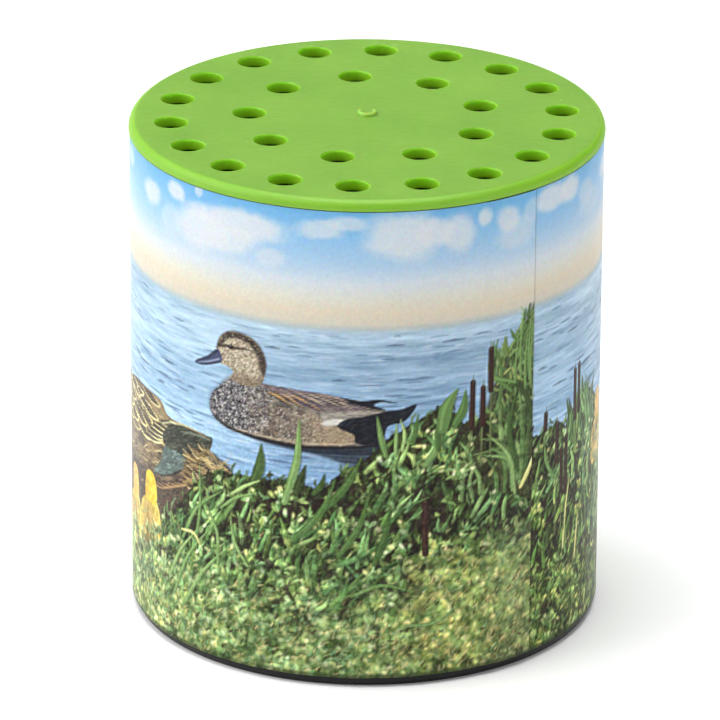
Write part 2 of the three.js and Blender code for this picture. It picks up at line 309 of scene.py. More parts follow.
def paint_water(art, rng):
    """Rippled water, darker in the open, with glints and a few long dark ripples."""
    depth = np.clip((HORIZON - art.z) / 20, 0, 1)
    base = np.stack([170 - 14 * depth, 196 - 4 * depth, 214 + 10 * depth], -1).astype(np.float32) / 255
    open_water = smooth(-24, -2, art.u) * smooth(HORIZON + 1, HORIZON - 4, art.z)
    base = base * (1 - open_water[..., None] * rgb(36, 30, 22))
    shimmer = grain(rng, art.rgb.shape[:2], (6, 55), 4, 0.65) - 0.5
    broad = grain(rng, art.rgb.shape[:2], (26, 170), 2) - 0.5
    water = base + (0.30 * shimmer + 0.12 * broad)[..., None] * rgb(255, 235, 205)
    art.wash(water, np.broadcast_to(1 - smooth(HORIZON - 0.6, HORIZON + 0.5, art.z), art.rgb.shape[:2]))
    for _ in range(1500):
        u = rng.uniform(PICTURE_LEFT - 2, SEAM_U + 2)
        z = HORIZON - 0.4 - 22 * rng.random() ** 0.9
        near = (HORIZON - z) / 22
        length = rng.uniform(0.5, 1.6) * (0.8 + 1.3 * near)
        bow = rng.uniform(-0.10, 0.14)
        line = [(u - length, z), (u - length * 0.3, z + bow), (u + length * 0.4, z + bow), (u + length, z)]
        thick = rng.uniform(0.12, 0.32) * (0.7 + 0.7 * near)
        light = rng.random() < 0.42
        stroke(art, line, (0.04, thick, thick, 0.04), GLINT if light else RIPPLE,
               rng.uniform(0.2, 0.6) if light else rng.uniform(0.25, 0.8), 0.07)
    for u, z, length in ((7, 41.6, 3), (-29, 38.7, 1.8), (3.5, 46.2, 2.2), (11, 46.2, 3),
                         (-12, 45, 2), (-3.5, 41.5, 1.7), (-36, 36.4, 3), (-31, 35.4, 1.8),
                         (-163.5, 39.4, 1.6), (-157, 42.6, 2.4), (-153, 37, 4), (-160, 36.4, 3)):
        stroke(art, [(u - length / 2, z), (u, z + 0.1), (u + length / 2, z + 0.05)],
               (0.1, 0.32, 0.28, 0.08), RIPPLE * 0.8, 0.75, 0.09)


# ---- birds ----
def scatter(art, rng, shape, count, length, width, lean, colours, strength=(0.4, 0.9), swing=0.5):
    """Short strokes inside an outline, mostly along one direction."""
    where, cover = inside(art, shape)
    rows, cols = np.nonzero(cover > 0.6)
    for k in rng.integers(0, len(rows), count):
        u = art.u[0, where[1]][cols[k]]
        z = art.z[where[0], 0][rows[k]]
        turn = lean + rng.normal(0, swing)
        size = rng.uniform(*length) / 2
        du, dz = size * math.cos(turn), size * math.sin(turn)
        wide = rng.uniform(*width)
        bend = rng.normal(0, 0.15) * size
        points = [(u - du, z - dz), (u - dz * 0.3 * bend, z + bend), (u + du, z + dz)]
        stroke(art, points, (wide * 0.5, wide, wide * 0.3), colours[rng.integers(len(colours))],
               rng.uniform(*strength), 0.02)


def shade(art, shape, colour, strength, low, high, axis, blur=0):
    """Fills an outline with a colour that comes in from low to high along u (axis 0) or z (axis 1)."""
    where, cover = inside(art, shape, blur)
    if where is None:
        return
    place = art.u[:, where[1]] if axis == 0 else art.z[where[0]]
    art.lay(where, colour, strength * cover * smooth(low, high, place))


def mottle(art, rng, shape, cell, dark, light, strength=1):
    """Cloudy texture between two colours inside an outline."""
    where, cover = inside(art, shape)
    noise = smooth(0.25, 0.75, grain(rng, cover.shape, cell, 3, 0.7))[..., None]
    art.lay(where, dark + (light - dark) * noise, strength * cover)


def paint_drake(art, rng):
    """A grey-brown duck swimming to the left, with its reflection."""
    ink, slate, white = rgb(24, 26, 34), rgb(70, 76, 104), rgb(214, 208, 200)
    tan, cream = rgb(160, 146, 118), rgb(226, 216, 190)
    body = outline([(-18.1, 39.7), (-19.4, 38.5), (-20.7, 37.2), (-21.2, 35.8), (-20.9, 34.5),
                    (-19.7, 33.5), (-17.2, 32.8), (-12, 32.5), (-6, 32.5), (-1, 33), (1.8, 33.2),
                    (2.4, 35.4), (4.6, 36.4), (1.6, 37.9), (-2.4, 38.9), (-5.5, 39.5), (-9.5, 39.8),
                    (-13.2, 40), (-16, 40.4)])
    head = outline([(-20.05, 43.2), (-19.6, 44.8), (-18.6, 45.8), (-17.1, 46.15), (-15.2, 45.9),
                    (-13.7, 44.8), (-12.9, 43), (-13, 41.4), (-13.6, 39.9), (-15.6, 39.3), (-17.9, 39.8),
                    (-17.5, 40.7), (-18.3, 41.3), (-19.6, 41.6)])
    bill = outline([(-19.9, 43.3), (-20.5, 42.5), (-21.6, 41.7), (-23, 41.05), (-23.8, 40.6),
                    (-23.4, 40.38), (-22.2, 40.5), (-21, 40.9), (-19.4, 41.6), (-19.3, 42.4)])
    reflection = outline([(-16, 32.8), (-9, 32.6), (-3, 32.9), (1.8, 33.2), (2.6, 31.8), (0.6, 30.6),
                          (-2.4, 30.4), (-5.5, 31.3), (-9, 31.8), (-13, 32.2)])
    fill(art, reflection, rgb(36, 40, 50), 0.92, 0.25)
    for i in range(7):
        z = 31.6 - 0.26 * i
        stroke(art, [(-14 + i, z), (-6 + 0.4 * i, z - 0.1), (2.2 - 0.2 * i, z)], (0.05, 0.12, 0.05),
               rgb(120, 146, 172), 0.6, 0.08)
    fill(art, body, rgb(112, 104, 96), 1, 0.04)
    mottle(art, rng, body, (7, 9), rgb(88, 82, 80), rgb(148, 138, 122), 0.9)

    flank = outline([(-16.5, 36.9), (-12, 37.4), (-7.5, 37), (-4.4, 35.6), (-2, 35), (-1, 33.4),
                     (-6, 32.9), (-14, 33.2), (-17.4, 34.6)])
    scatter(art, rng, flank, 2600, (0.2, 0.5), (0.07, 0.12), 0.25,
            [rgb(200, 190, 172), rgb(58, 50, 50), rgb(146, 126, 108), rgb(88, 74, 68)], (0.45, 0.95), 0.9)
    shade(art, flank, rgb(190, 166, 128), 0.5, -10, -4, 0, 0.2)

    breast = outline([(-18, 39.8), (-19.4, 38.5), (-20.7, 37.2), (-21.15, 35.8), (-20.8, 34.6),
                      (-19.6, 33.6), (-17, 33.1), (-15.4, 34.6), (-15.6, 37.6), (-14.2, 39.4),
                      (-15.8, 39.9)])
    fill(art, breast, rgb(60, 58, 64), 0.9, 0.7)
    wide = outline([(-18, 39.8), (-19.4, 38.5), (-20.7, 37.2), (-21.15, 35.8), (-20.8, 34.6), (-19.6, 33.6),
                    (-15, 32.9), (-12.6, 34.6), (-13, 37.4), (-13.2, 39.4), (-15.8, 39.9)])
    for shape, count in ((wide, 700), (breast, 900)):
        scatter(art, rng, shape, count, (0.25, 0.55), (0.07, 0.13), -0.7,
                [white, rgb(190, 186, 184), rgb(206, 200, 190), rgb(150, 146, 148)], (0.55, 1), 0.9)
        scatter(art, rng, shape, int(count * 0.6), (0.25, 0.5), (0.08, 0.14), -0.7, [ink, rgb(46, 44, 50)],
                (0.5, 0.9), 0.9)
    shoulder = outline([(-15.6, 39.6), (-12.4, 39.7), (-11.6, 38.6), (-12.8, 37.2), (-15.4, 37.2)])
    scatter(art, rng, shoulder, 420, (0.3, 0.6), (0.08, 0.14), -0.5, [white, ink, rgb(150, 140, 132)],
            (0.4, 0.8))

    mantle = outline([(-14, 39.9), (-9.5, 39.9), (-5, 39.6), (-1.5, 38.8), (0.8, 38), (-4, 37.4),
                      (-6.4, 37.4), (-10.4, 38.8)])
    fill(art, mantle, rgb(104, 92, 98), 0.85, 0.15)
    plumes = [((-12.6, 39), (-9.6, 37.7)), ((-11.6, 39.2), (-7.8, 37.5)), ((-10.4, 39.3), (-5.4, 37.2)),
              ((-9, 39.5), (-4.6, 37.7)), ((-7.6, 39.5), (-3.2, 38)), ((-6.6, 39.6), (-1.6, 37.9)),
              ((-5.4, 39.5), (0.6, 37.7)), ((-4.6, 39.3), (2.2, 37.6))]
    for (au, az), (bu, bz) in plumes:
        middle = ((au + bu) / 2, (az + bz) / 2 + 0.22)
        stroke(art, [(au, az), middle, (bu, bz)], (0.25, 0.62, 0.55, 0.1), ink, 0.85, 0.05)
        stroke(art, [(au, az + 0.06), (middle[0], middle[1] + 0.10), (bu, bz + 0.06)],
               (0.15, 0.42, 0.34, 0.05), rgb(200, 160, 108) if bu < -4.8 else rgb(188, 170, 146), 0.9, 0.05)
    scatter(art, rng, mantle, 240, (0.5, 1.3), (0.06, 0.12), -0.28,
            [rgb(84, 72, 98), rgb(196, 176, 160), rgb(60, 52, 60), rgb(168, 150, 150)], (0.35, 0.8), 0.12)

    tip = outline([(-3.4, 39.35), (-0.6, 38.95), (1.6, 39.1), (3.8, 38.55), (1.8, 38.75), (0.9, 38.35),
                   (2.3, 37.75), (0.4, 38), (-1.4, 38.5)])
    fill(art, tip, ink, 0.95, 0.05)
    lower = outline([(-5.6, 37.2), (-2, 37.5), (2, 37.5), (-0.6, 36.9), (-3, 35.9), (-5, 35.4),
                     (-5.4, 36.2)])
    fill(art, lower, rgb(158, 152, 142), 0.85, 0.15)
    scatter(art, rng, lower, 70, (0.6, 1.6), (0.06, 0.12), -0.1, [rgb(206, 198, 184), rgb(96, 92, 92)],
            (0.4, 0.8), 0.12)
    fill(art, oval(-4.2, 35.95, 1.5, 0.42, 0.2), rgb(224, 220, 214), 0.85, 0.18)
    rump = outline([(-3.6, 35.4), (-2.4, 36.5), (0, 36.9), (2.4, 37.5), (4.2, 37.7), (6.2, 38.25),
                    (5.2, 36.6), (4.2, 35.9), (2.6, 35.5), (1.9, 33.4), (0.2, 33), (-1.4, 33.4),
                    (-1.6, 34.4)])
    fill(art, rump, ink, 0.97, 0.08)
    scatter(art, rng, rump, 90, (0.4, 1.2), (0.05, 0.10), 0.4, [rgb(58, 62, 78), rgb(84, 84, 96)],
            (0.2, 0.6), 0.25)
    stroke(art, [(-20.6, 34.2), (-18.6, 33.2), (-14, 32.6), (-8, 32.35), (-2, 32.7), (1.6, 33)],
           (0.15, 0.35, 0.42, 0.35, 0.2), rgb(32, 26, 28), 0.9, 0.08)
    stroke(art, [(-17, 33.25), (-12, 32.95), (-6, 32.9), (-1.6, 33.2)], (0.08, 0.16, 0.16, 0.1),
           rgb(226, 204, 170), 0.75, 0.05)

    fill(art, head, tan, 1, 0.04)
    mottle(art, rng, head, (2, 2.5), rgb(130, 118, 100), rgb(212, 202, 180), 0.9)
    scatter(art, rng, head, 1100, (0.10, 0.24), (0.05, 0.10), -0.2,
            [cream, rgb(100, 82, 64), rgb(236, 226, 200), rgb(150, 134, 108)], (0.4, 0.9), 1.5)
    crown = outline([(-20.1, 43.4), (-19.5, 44.9), (-18.5, 45.8), (-17.1, 46.15), (-15.2, 45.9),
                     (-13.7, 44.8), (-12.9, 43), (-13.1, 41.2), (-13.6, 41.9), (-14, 43.4), (-15, 44.7),
                     (-16.8, 45.4), (-18.4, 45), (-19.3, 44)])
    fill(art, crown, rgb(42, 33, 34), 0.76, 0.34)
    scatter(art, rng, crown, 260, (0.2, 0.4), (0.07, 0.12), 0.2, [rgb(170, 150, 116), ink, ink], (0.4, 0.8))
    stroke(art, [(-19.7, 43.7), (-18.6, 44), (-17.4, 43.95), (-15.8, 44.2), (-14.4, 44)],
           (0.18, 0.4, 0.42, 0.25, 0.1), rgb(58, 46, 42), 0.8, 0.08)
    fill(art, oval(-17.9, 44, 0.42, 0.3), rgb(20, 16, 20), 1, 0.04)
    fill(art, oval(-18.02, 44.12, 0.09, 0.07), white, 0.9, 0.03)
    shade(art, head, rgb(66, 54, 50), 0.45, -14.3, -12.9, 0, 0.05)
    shade(art, head, rgb(96, 80, 62), 0.5, 41, 39.9, 1, 0.1)
    fill(art, bill, slate, 1, 0.04)
    stroke(art, [(-20.2, 42.9), (-21.4, 41.85), (-23.4, 40.85)], (0.45, 0.35, 0.15), rgb(40, 42, 62), 0.8,
           0.06)
    stroke(art, [(-19.7, 41.95), (-21.4, 41.2), (-23.2, 40.6)], (0.22, 0.2, 0.1), rgb(156, 164, 190), 0.8,
           0.06)
    stroke(art, [(-19.5, 41.6), (-21.3, 40.95), (-23.3, 40.45)], (0.10, 0.1, 0.06), rgb(30, 30, 44), 0.9,
           0.03)


def feather(art, root, tip, wide, colour, rim, strength=1):
    """A dark pointed feather with a pale edge along its lower side and round its tip."""
    (au, az), (bu, bz) = root, tip
    du, dz = bu - au, bz - az
    side = wide / math.hypot(du, dz)
    low = (au + 0.6 * du + side * dz, az + 0.6 * dz - side * du)
    high = (au + 0.6 * du - side * dz, az + 0.6 * dz + side * du)
    leaf = curve([root, high, tip, low, root])
    fill(art, leaf, colour, 0.9 * strength, 0.03)
    stroke(art, curve([high, tip, low, root]), (0.1, 0.28, 0.32, 0.22, 0.1), rim, 0.95 * strength, 0.04)
    stroke(art, [(au + 0.2 * du, az + 0.2 * dz), tip], (0.05, 0.16, 0.06), rim, 0.5 * strength, 0.04)


def duckling(art, rng, u, z, size, colour):
    """A yellow chick seen from behind, with its head up."""
    shadow = rgb(120, 92, 60)
    body = outline([(u - 0.9 * size, z + 1.2 * size), (u + 0.7 * size, z + 1.5 * size),
                    (u + 1.25 * size, z + 0.3 * size), (u + size, z - 0.9 * size), (u, z - 1.5 * size),
                    (u - 1.3 * size, z - 1.1 * size), (u - 1.5 * size, z + 0.2 * size)])
    fill(art, body, rgb(212, 188, 92), 1, 0.15)
    mottle(art, rng, body, (9, 6), rgb(176, 146, 66), rgb(236, 214, 112), 0.75)
    shade(art, body, shadow, 0.5, z - 0.4 * size, z - 1.5 * size, 1, 0.3)
    stroke(art, curve([(u + 0.6 * size, z + 1.6 * size), (u + 1.1 * size, z + 0.6 * size),
                       (u + 0.9 * size, z - 0.7 * size)]), (0.3, 0.6, 0.4), rgb(240, 222, 120), 0.8, 0.2)
    fill(art, oval(u - 0.3 * size, z + 0.1 * size, 0.75 * size, 0.95 * size, 0.2), rgb(150, 120, 88), 0.45,
         0.4)
    head = outline([(u - 0.55 * size, z + 1.3 * size), (u + 0.75 * size, z + 1.3 * size),
                    (u + 0.72 * size, z + 2.5 * size), (u + 0.3 * size, z + 2.95 * size),
                    (u - 0.4 * size, z + 2.85 * size), (u - 0.62 * size, z + 2.1 * size)])
    fill(art, head, colour, 1, 0.1)
    mottle(art, rng, head, (5, 5), colour * rgb(235, 215, 170), colour * rgb(255, 250, 255) + 0.03, 0.8)
    shade(art, head, rgb(206, 150, 60), 0.45, u + 0.1 * size, u - 0.6 * size, 0, 0.2)


def paint_hen(art, rng):
    """A brown hen with yellow-edged feathers, standing on the bank with her chicks."""
    brown, dark, straw = rgb(122, 106, 78), rgb(50, 42, 38), rgb(236, 220, 160)
    body = outline([(-21, 30.8), (-24.5, 31.3), (-29.2, 31.4), (-31.2, 32.9), (-36, 33.1), (-40.5, 32.7),
                    (-46, 31), (-52, 29.8), (-58, 29.6), (-61.8, 31), (-63, 34.5), (-63.4, 37.4),
                    (-65.4, 39.4), (-68.2, 39.2), (-69.6, 37.6), (-69, 35.8), (-67.6, 34.4), (-67.2, 31),
                    (-67.4, 26.5), (-65, 21), (-60, 17), (-52, 14.6), (-42, 13.6), (-33, 14.6),
                    (-29, 17), (-26, 21), (-23.4, 26), (-21.8, 28.4)])
    fill(art, body, brown, 1, 0.05)
    mottle(art, rng, body, (14, 30), rgb(84, 72, 58), rgb(150, 132, 98), 0.9)
    belly = outline([(-24, 24.5), (-30, 22.6), (-38, 22), (-50, 19.5), (-61, 20), (-52, 14.6),
                     (-42, 13.6), (-33, 14.6), (-28, 18)])
    fill(art, belly, rgb(70, 56, 50), 0.75, 0.6)
    wing = outline([(-31, 31), (-42, 31), (-56, 28.6), (-62, 26), (-58, 21.5), (-44, 20.5),
                    (-34, 22), (-29, 26)])
    scatter(art, rng, wing, 520, (0.8, 2.4), (0.10, 0.24), 0.22,
            [straw, dark, rgb(158, 134, 100), rgb(84, 70, 62)], (0.35, 0.8), 0.25)
    scatter(art, rng, belly, 420, (0.6, 1.6), (0.08, 0.2), 0.3, [rgb(146, 120, 88), dark, rgb(40, 34, 34)],
            (0.3, 0.7), 0.35)
    for row in range(6):
        for k in range(9):
            tip_u = -28.2 - 3.7 * k - 1.9 * (row % 2) + rng.uniform(-0.8, 0.8)
            tip_z = 31.9 - 1.05 * row - 0.055 * max(0, -40 - tip_u) ** 1.15 + rng.uniform(-0.3, 0.3)
            under_tail = tip_u > -30.8 + 0.9 * row or (row > 4 and tip_u > -33)
            on_neck = tip_u < -53 and row < 2
            if under_tail or on_neck:
                continue
            length = rng.uniform(4.2, 6)
            feather(art, (tip_u - length, tip_z + rng.uniform(-0.7, 1.3)), (tip_u, tip_z),
                    rng.uniform(0.45, 0.7), dark + (brown - dark) * rng.uniform(0.2, 0.8),
                    straw * rng.uniform(0.85, 1.08))
    for k in range(6):
        feather(art, (-36.5 + 0.9 * k, 26.4 + 0.7 * k), (-30.4 + 0.75 * k, 27.6 + 0.62 * k), 0.5, dark,
                straw)
    tail = outline([(-30.6, 28.4), (-28.6, 30.5), (-25, 31.1), (-22.4, 30.8), (-21, 31.1), (-20.95, 30.2),
                    (-22, 28.6), (-23.6, 27.2), (-26.5, 26.6), (-29.6, 26.9)])
    fill(art, tail, rgb(52, 55, 48), 0.97, 0.06)
    scatter(art, rng, tail, 160, (0.8, 2.2), (0.06, 0.16), 0.35,
            [rgb(94, 100, 84), rgb(40, 42, 38), rgb(120, 124, 100)], (0.25, 0.65), 0.15)
    stroke(art, curve([(-30.6, 30), (-28.2, 30.9), (-25.2, 31.3), (-22.6, 31.1)]), (0.2, 0.34, 0.28, 0.1),
           rgb(196, 196, 156), 0.85, 0.06)
    stroke(art, curve([(-26.6, 30.2), (-23.8, 30.7), (-21.3, 30.7)]), (0.1, 0.3, 0.4), rgb(138, 146, 128),
           0.7, 0.12)
    mirror = outline([(-30.2, 26.9), (-27, 27.1), (-25.2, 26.5), (-25.9, 25.2), (-28.6, 23.7),
                      (-32.2, 22.4), (-33, 22.8), (-31, 24.8)])
    fill(art, mirror, rgb(90, 108, 103), 0.92, 0.12)
    scatter(art, rng, mirror, 120, (0.6, 1.8), (0.08, 0.2), 0.45, [rgb(140, 158, 150), rgb(66, 82, 84)],
            (0.3, 0.7), 0.15)
    stroke(art, curve([(-33, 22.3), (-29.6, 23.2), (-26.4, 25), (-25.2, 26.2)]), (0.15, 0.3, 0.2), dark,
           0.8, 0.06)
    for k in range(5):
        feather(art, (-33.6 + 1.4 * k, 20.8 + 0.5 * k), (-29.4 + 1.4 * k, 21.8 + 0.62 * k), 0.4,
                rgb(64, 52, 46), rgb(190, 156, 110), 0.8)
    litter = outline([(-25.4, 27.4), (-22, 29.2), (-19.4, 28.4), (-17.6, 27), (-20.4, 24.8), (-25, 23)])
    fill(art, litter, dark, 0.85, 0.3)
    scatter(art, rng, litter, 110, (1.4, 3.2), (0.2, 0.42), -0.25,
            [rgb(206, 186, 132), rgb(160, 136, 92), rgb(104, 84, 58)], (0.5, 0.95), 0.3)
    # head and neck, on the far side of the case
    face = outline([(-62.9, 35), (-63.4, 37.6), (-65.4, 39.4), (-68.2, 39.2), (-69.6, 37.6), (-69, 35.8),
                    (-67.5, 34.2), (-67.3, 31.5), (-62.6, 31.5)])
    mottle(art, rng, face, (4, 6), rgb(150, 126, 90), rgb(206, 184, 138), 0.9)
    scatter(art, rng, face, 320, (0.25, 0.6), (0.08, 0.14), 0.9, [dark, straw, rgb(120, 98, 74)],
            (0.3, 0.8), 0.6)
    stroke(art, curve([(-69.4, 38), (-67.4, 39.1), (-65.2, 38.9), (-63.6, 37.2)]), (0.3, 0.8, 0.9, 0.4),
           dark, 0.75, 0.2)
    stroke(art, curve([(-69.5, 37.2), (-67.2, 37.6), (-64.6, 36.9)]), (0.2, 0.4, 0.15), dark, 0.8, 0.08)
    fill(art, oval(-67, 37.7, 0.4, 0.32), rgb(20, 16, 16), 1, 0.05)
    fill(art, outline([(-69.4, 37.5), (-71.6, 36.3), (-73.8, 35.7), (-73.7, 35.2), (-71.4, 35.1),
                       (-69, 35.6)]), rgb(150, 112, 62), 1, 0.06)
    stroke(art, [(-69.3, 35.9), (-71.5, 35.5), (-73.7, 35.4)], (0.12, 0.12, 0.08), dark, 0.8, 0.05)


def paint_swimmer(art, rng):
    """A green-headed drake on the far side of the case."""
    ink = rgb(26, 26, 30)
    fill(art, outline([(-124, 31.6), (-116, 31.2), (-104, 31.4), (-101, 32.6), (-124, 32.6)]),
         rgb(58, 66, 74), 0.7, 0.4)
    body = outline([(-123.4, 36.4), (-123, 33.8), (-120, 32.3), (-110, 31.9), (-102.8, 32.6), (-99.2, 35.6),
                    (-97.2, 37), (-101, 38), (-108, 38.8), (-114.5, 38.6), (-118.4, 39.2)])
    fill(art, body, rgb(168, 162, 150), 1, 0.05)
    scatter(art, rng, body, 1200, (0.4, 1.2), (0.08, 0.14), 0.1,
            [rgb(206, 200, 188), rgb(128, 122, 114), rgb(96, 90, 86)], (0.3, 0.7), 0.25)
    breast = outline([(-123.4, 36.6), (-123.1, 34), (-120.4, 32.6), (-117.6, 34.2), (-116.8, 37.6),
                      (-119, 39.2)])
    fill(art, breast, rgb(104, 64, 44), 0.95, 0.3)
    scatter(art, rng, breast, 260, (0.3, 0.7), (0.08, 0.14), -0.6, [rgb(150, 98, 66), rgb(64, 40, 32)],
            (0.3, 0.7), 0.6)
    back = outline([(-117.4, 38.4), (-108, 38.8), (-101.2, 37.8), (-106, 36.2), (-114, 36.6)])
    fill(art, back, rgb(100, 84, 68), 0.85, 0.25)
    fill(art, outline([(-104.6, 33.4), (-104, 36.6), (-99.4, 37.4), (-97.4, 37), (-100.2, 35),
                       (-102.2, 32.8)]), ink, 0.95, 0.1)
    head = outline([(-121.4, 38.4), (-117.2, 38.6), (-116.6, 41.4), (-117.4, 44), (-119.8, 45.2),
                    (-122.4, 44.6), (-123.6, 42.6), (-123, 40.8), (-121.8, 40)])
    fill(art, head, rgb(24, 74, 58), 1, 0.05)
    mottle(art, rng, head, (5, 6), rgb(16, 46, 44), rgb(52, 128, 84), 0.85)
    stroke(art, curve([(-121.7, 39.4), (-119.4, 38.7), (-117, 39.2)]), (0.3, 0.5, 0.3), rgb(236, 234, 226),
           0.95, 0.05)
    fill(art, outline([(-123.2, 43.2), (-125.6, 42.3), (-127.6, 41.9), (-127.4, 41.3), (-125, 41),
                       (-122.8, 41.4)]), rgb(206, 176, 70), 1, 0.06)
    fill(art, oval(-121.2, 43.2, 0.36, 0.3), ink, 1, 0.04)


# ---- bank ----
BANK = [  # the top edge of the grass, from the seam at the left to the seam at the right
    (-166.5, 30.6), (-160.5, 31.2), (-157.5, 30), (-155, 32.6), (-152.5, 33.6), (-149.5, 31.6), (-147, 29),
    (-144.5, 24.4), (-139, 24), (-132, 24.6), (-125, 23.8), (-118, 22), (-111, 24), (-105, 28),
    (-98, 31.5), (-92, 30), (-86, 25), (-78, 21), (-70, 18.5), (-62, 16), (-54, 14),
    (-46, 13.4), (-38, 13.6), (-33, 15), (-29.5, 18), (-26.5, 21), (-24, 24), (-21.5, 26.6),
    (-16, 27), (-12, 27.6), (-5.4, 26.9), (-3.5, 28.8), (-1, 31), (1.2, 32), (3, 34.4), (6, 35.8),
    (8, 37), (10.5, 37.6), (12.5, 35), (15.5, 35.5), (18, 37.5), (24, 39),
]
LEAF = [  # leaf colours from the deepest gap to the brightest tip
    (0.00, (40, 31, 26)), (0.20, (50, 50, 30)), (0.35, (68, 88, 44)), (0.50, (96, 126, 66)),
    (0.64, (134, 160, 94)), (0.78, (180, 196, 120)), (0.90, (220, 222, 146)), (1.00, (246, 236, 184)),
]
BLADES = [  # foot, tip, width, bend and brightness of the blades that stand out
    ((-14.6, 26.4), (-13.5, 32), 1.5, -0.06, 0.36), ((-10.4, 24.6), (-8.4, 36.2), 1.15, -0.05, 0.62),
    ((-8.9, 26), (-7.6, 30), 1.1, 0, 0.28), ((-6.6, 26.2), (-5.2, 29), 0.8, -0.1, 0.34),
    ((2.4, 31.5), (1.3, 36.9), 0.8, 0.02, 0.56), ((3.6, 31.6), (3.7, 35.8), 0.5, 0, 0.66),
    ((4.4, 32.2), (4.2, 36.4), 0.5, -0.1, 0.74), ((5.8, 33), (6.4, 37), 0.6, 0, 0.44),
    ((7.4, 30), (9.6, 35.4), 0.9, -0.1, 0.60), ((9, 32), (10.2, 37.6), 0.8, 0.1, 0.42),
    ((9.6, 34.6), (11.6, 39.8), 1.9, 0.1, 0.54), ((11.2, 35), (12.6, 39.4), 1.3, -0.1, 0.48),
    ((-17.8, 24.3), (-13.6, 27), 0.55, 0.04, 0.74), ((-19.5, 22), (-14, 25.2), 0.45, 0.08, 0.62),
    ((-26.2, 16), (-19, 24.5), 0.55, 0.10, 0.60), ((-24, 15), (-23, 27), 0.5, -0.04, 0.56),
    ((-29, 10), (-23.5, 17.8), 0.55, 0.05, 0.66), ((-28, 8), (-21, 19), 0.5, 0.06, 0.62),
    ((-26, 7), (-18.2, 17), 0.6, 0.05, 0.64), ((-20, 14), (-22.4, 22.5), 0.5, -0.12, 0.62),
    ((-26.4, 17), (-22.6, 15.4), 0.45, 0.25, 0.88), ((-15.5, 15), (-18, 21), 0.45, 0.1, 0.66),
    ((-5.5, 24), (-0.5, 31.5), 1.1, -0.06, 0.42), ((-9, 20), (-4, 27.6), 1, -0.08, 0.46),
    ((-3.4, 18), (0.5, 26.5), 0.9, -0.06, 0.44), ((1, 17), (3, 25), 0.9, -0.05, 0.40),
    ((-1.8, 12.6), (6, 13), 0.5, 0.16, 0.56), ((5, 8.4), (12, 10.5), 0.5, -0.14, 0.60),
    ((20.9, 24.6), (23.2, 28.8), 0.75, -0.04, 0.90), ((19.5, 25), (16.2, 31), 0.7, -0.2, 0.58),
    ((19.6, 24.5), (15, 30.2), 0.7, -0.3, 0.62), ((20, 24), (15.6, 33), 0.6, -0.14, 0.66),
    ((20.4, 27), (20.4, 39), 0.75, 0.12, 0.36), ((22.8, 34), (18.8, 39.4), 0.8, -0.1, 0.30),
    ((17.4, 37), (16.3, 45), 0.5, -0.1, 0.46), ((19.2, 38), (17, 45.4), 0.6, 0.24, 0.50),
    ((19.8, 39), (16.4, 45.2), 0.55, 0.34, 0.56),
    ((-158.7, 13.5), (-157.2, 23), 0.5, 0.03, 0.86), ((-155.6, 11), (-154.8, 17), 0.45, 0, 0.88),
    ((-161, 24), (-163, 29.4), 0.6, 0.1, 0.56), ((-150.4, 27), (-149.4, 34.6), 0.55, 0.05, 0.46),
]
FAN = [  # arching leaves of the tall reeds by the seam, in the same form
    ((20.8, 25), (13.6, 30.4), 0.8, -0.36, 0.60), ((20.9, 25.4), (14.8, 32.4), 0.9, -0.30, 0.64),
    ((20.6, 26), (16, 35.2), 1, -0.10, 0.56), ((20.2, 26), (17.4, 36.6), 1, 0.08, 0.62),
    ((20.6, 26.4), (18.8, 37.6), 0.9, 0.06, 0.50), ((20.9, 26), (20.4, 38.2), 0.9, -0.04, 0.58),
    ((21.4, 26), (21.8, 37.6), 0.8, 0.04, 0.46), ((21.8, 26.4), (23.4, 36), 0.8, 0.06, 0.40),
    ((17.2, 24.6), (15.4, 30), 0.7, -0.10, 0.50), ((18.4, 24.6), (16.2, 31.6), 0.7, -0.14, 0.46),
    ((13.6, 24.8), (14, 29.4), 0.6, 0.10, 0.66), ((12.2, 24.6), (11.4, 29.2), 0.6, -0.10, 0.60),
    ((14.8, 25), (12.6, 29.8), 0.6, -0.16, 0.62),
]
CATTAILS = [  # place, lower and upper end of the brown head, foot of the stem, lean
    (16.1, 38.8, 44.2, 30, 0), (13.5, 34.2, 40.2, 30, 0.4), (15, 34.4, 39.2, 29, 0.2),
    (7.5, 18, 25, 16, -0.3), (-160.4, 26, 31, 16, 0.2), (-158.3, 21, 28.6, 16, 0.3),
    (-159.3, 21.5, 27.2, 16, 0), (-156.1, 30.4, 36.8, 27, -0.2), (-155, 31, 37.2, 27, 0),
    (-162.8, 31, 33, 29, 0.2), (-102.4, 33, 39.6, 26, 0.2), (-99.8, 35.4, 42.4, 26, -0.2),
    (-97.2, 33.4, 40.6, 26, 0.3), (-94.6, 30.6, 36.4, 25, 0.2), (-90, 27, 33.4, 22, 0.4),
    (-136, 24.6, 31, 20, 0.2), (-133.6, 25.8, 33, 20, -0.2), (-76, 20, 26, 14, 0.2),
]
# How many marks of each kind there are to a millimetre round the case.
CLUMPS, LEAVES, LONG_BLADES, FLECKS, SPRIGS = 7, 52, 3.8, 30, 11
REEDS = [  # stands of tall reeds: left and right end, foot, lowest and highest tip, how many
    (16.6, 24, 25, 33, 47.5, 34), (-158, -150.5, 27, 31.5, 36.5, 50),
    (-106, -90.5, 24, 30, 43, 110), (-139, -130, 20, 25, 32.5, 45),
]


def leaf_colour(level, warm=0):
    """The leaf colour of a brightness, or of an array of them, turned towards straw by warm."""
    levels = [at for at, _ in LEAF]
    colour = np.stack([np.interp(level, levels, [c[i] for _, c in LEAF]) for i in range(3)], -1)
    tint = np.asarray(warm)[..., None] * np.array((0.14, 0.02, -0.12))
    return np.clip(colour * (1 + tint), 0, 255).astype(np.float32) / 255


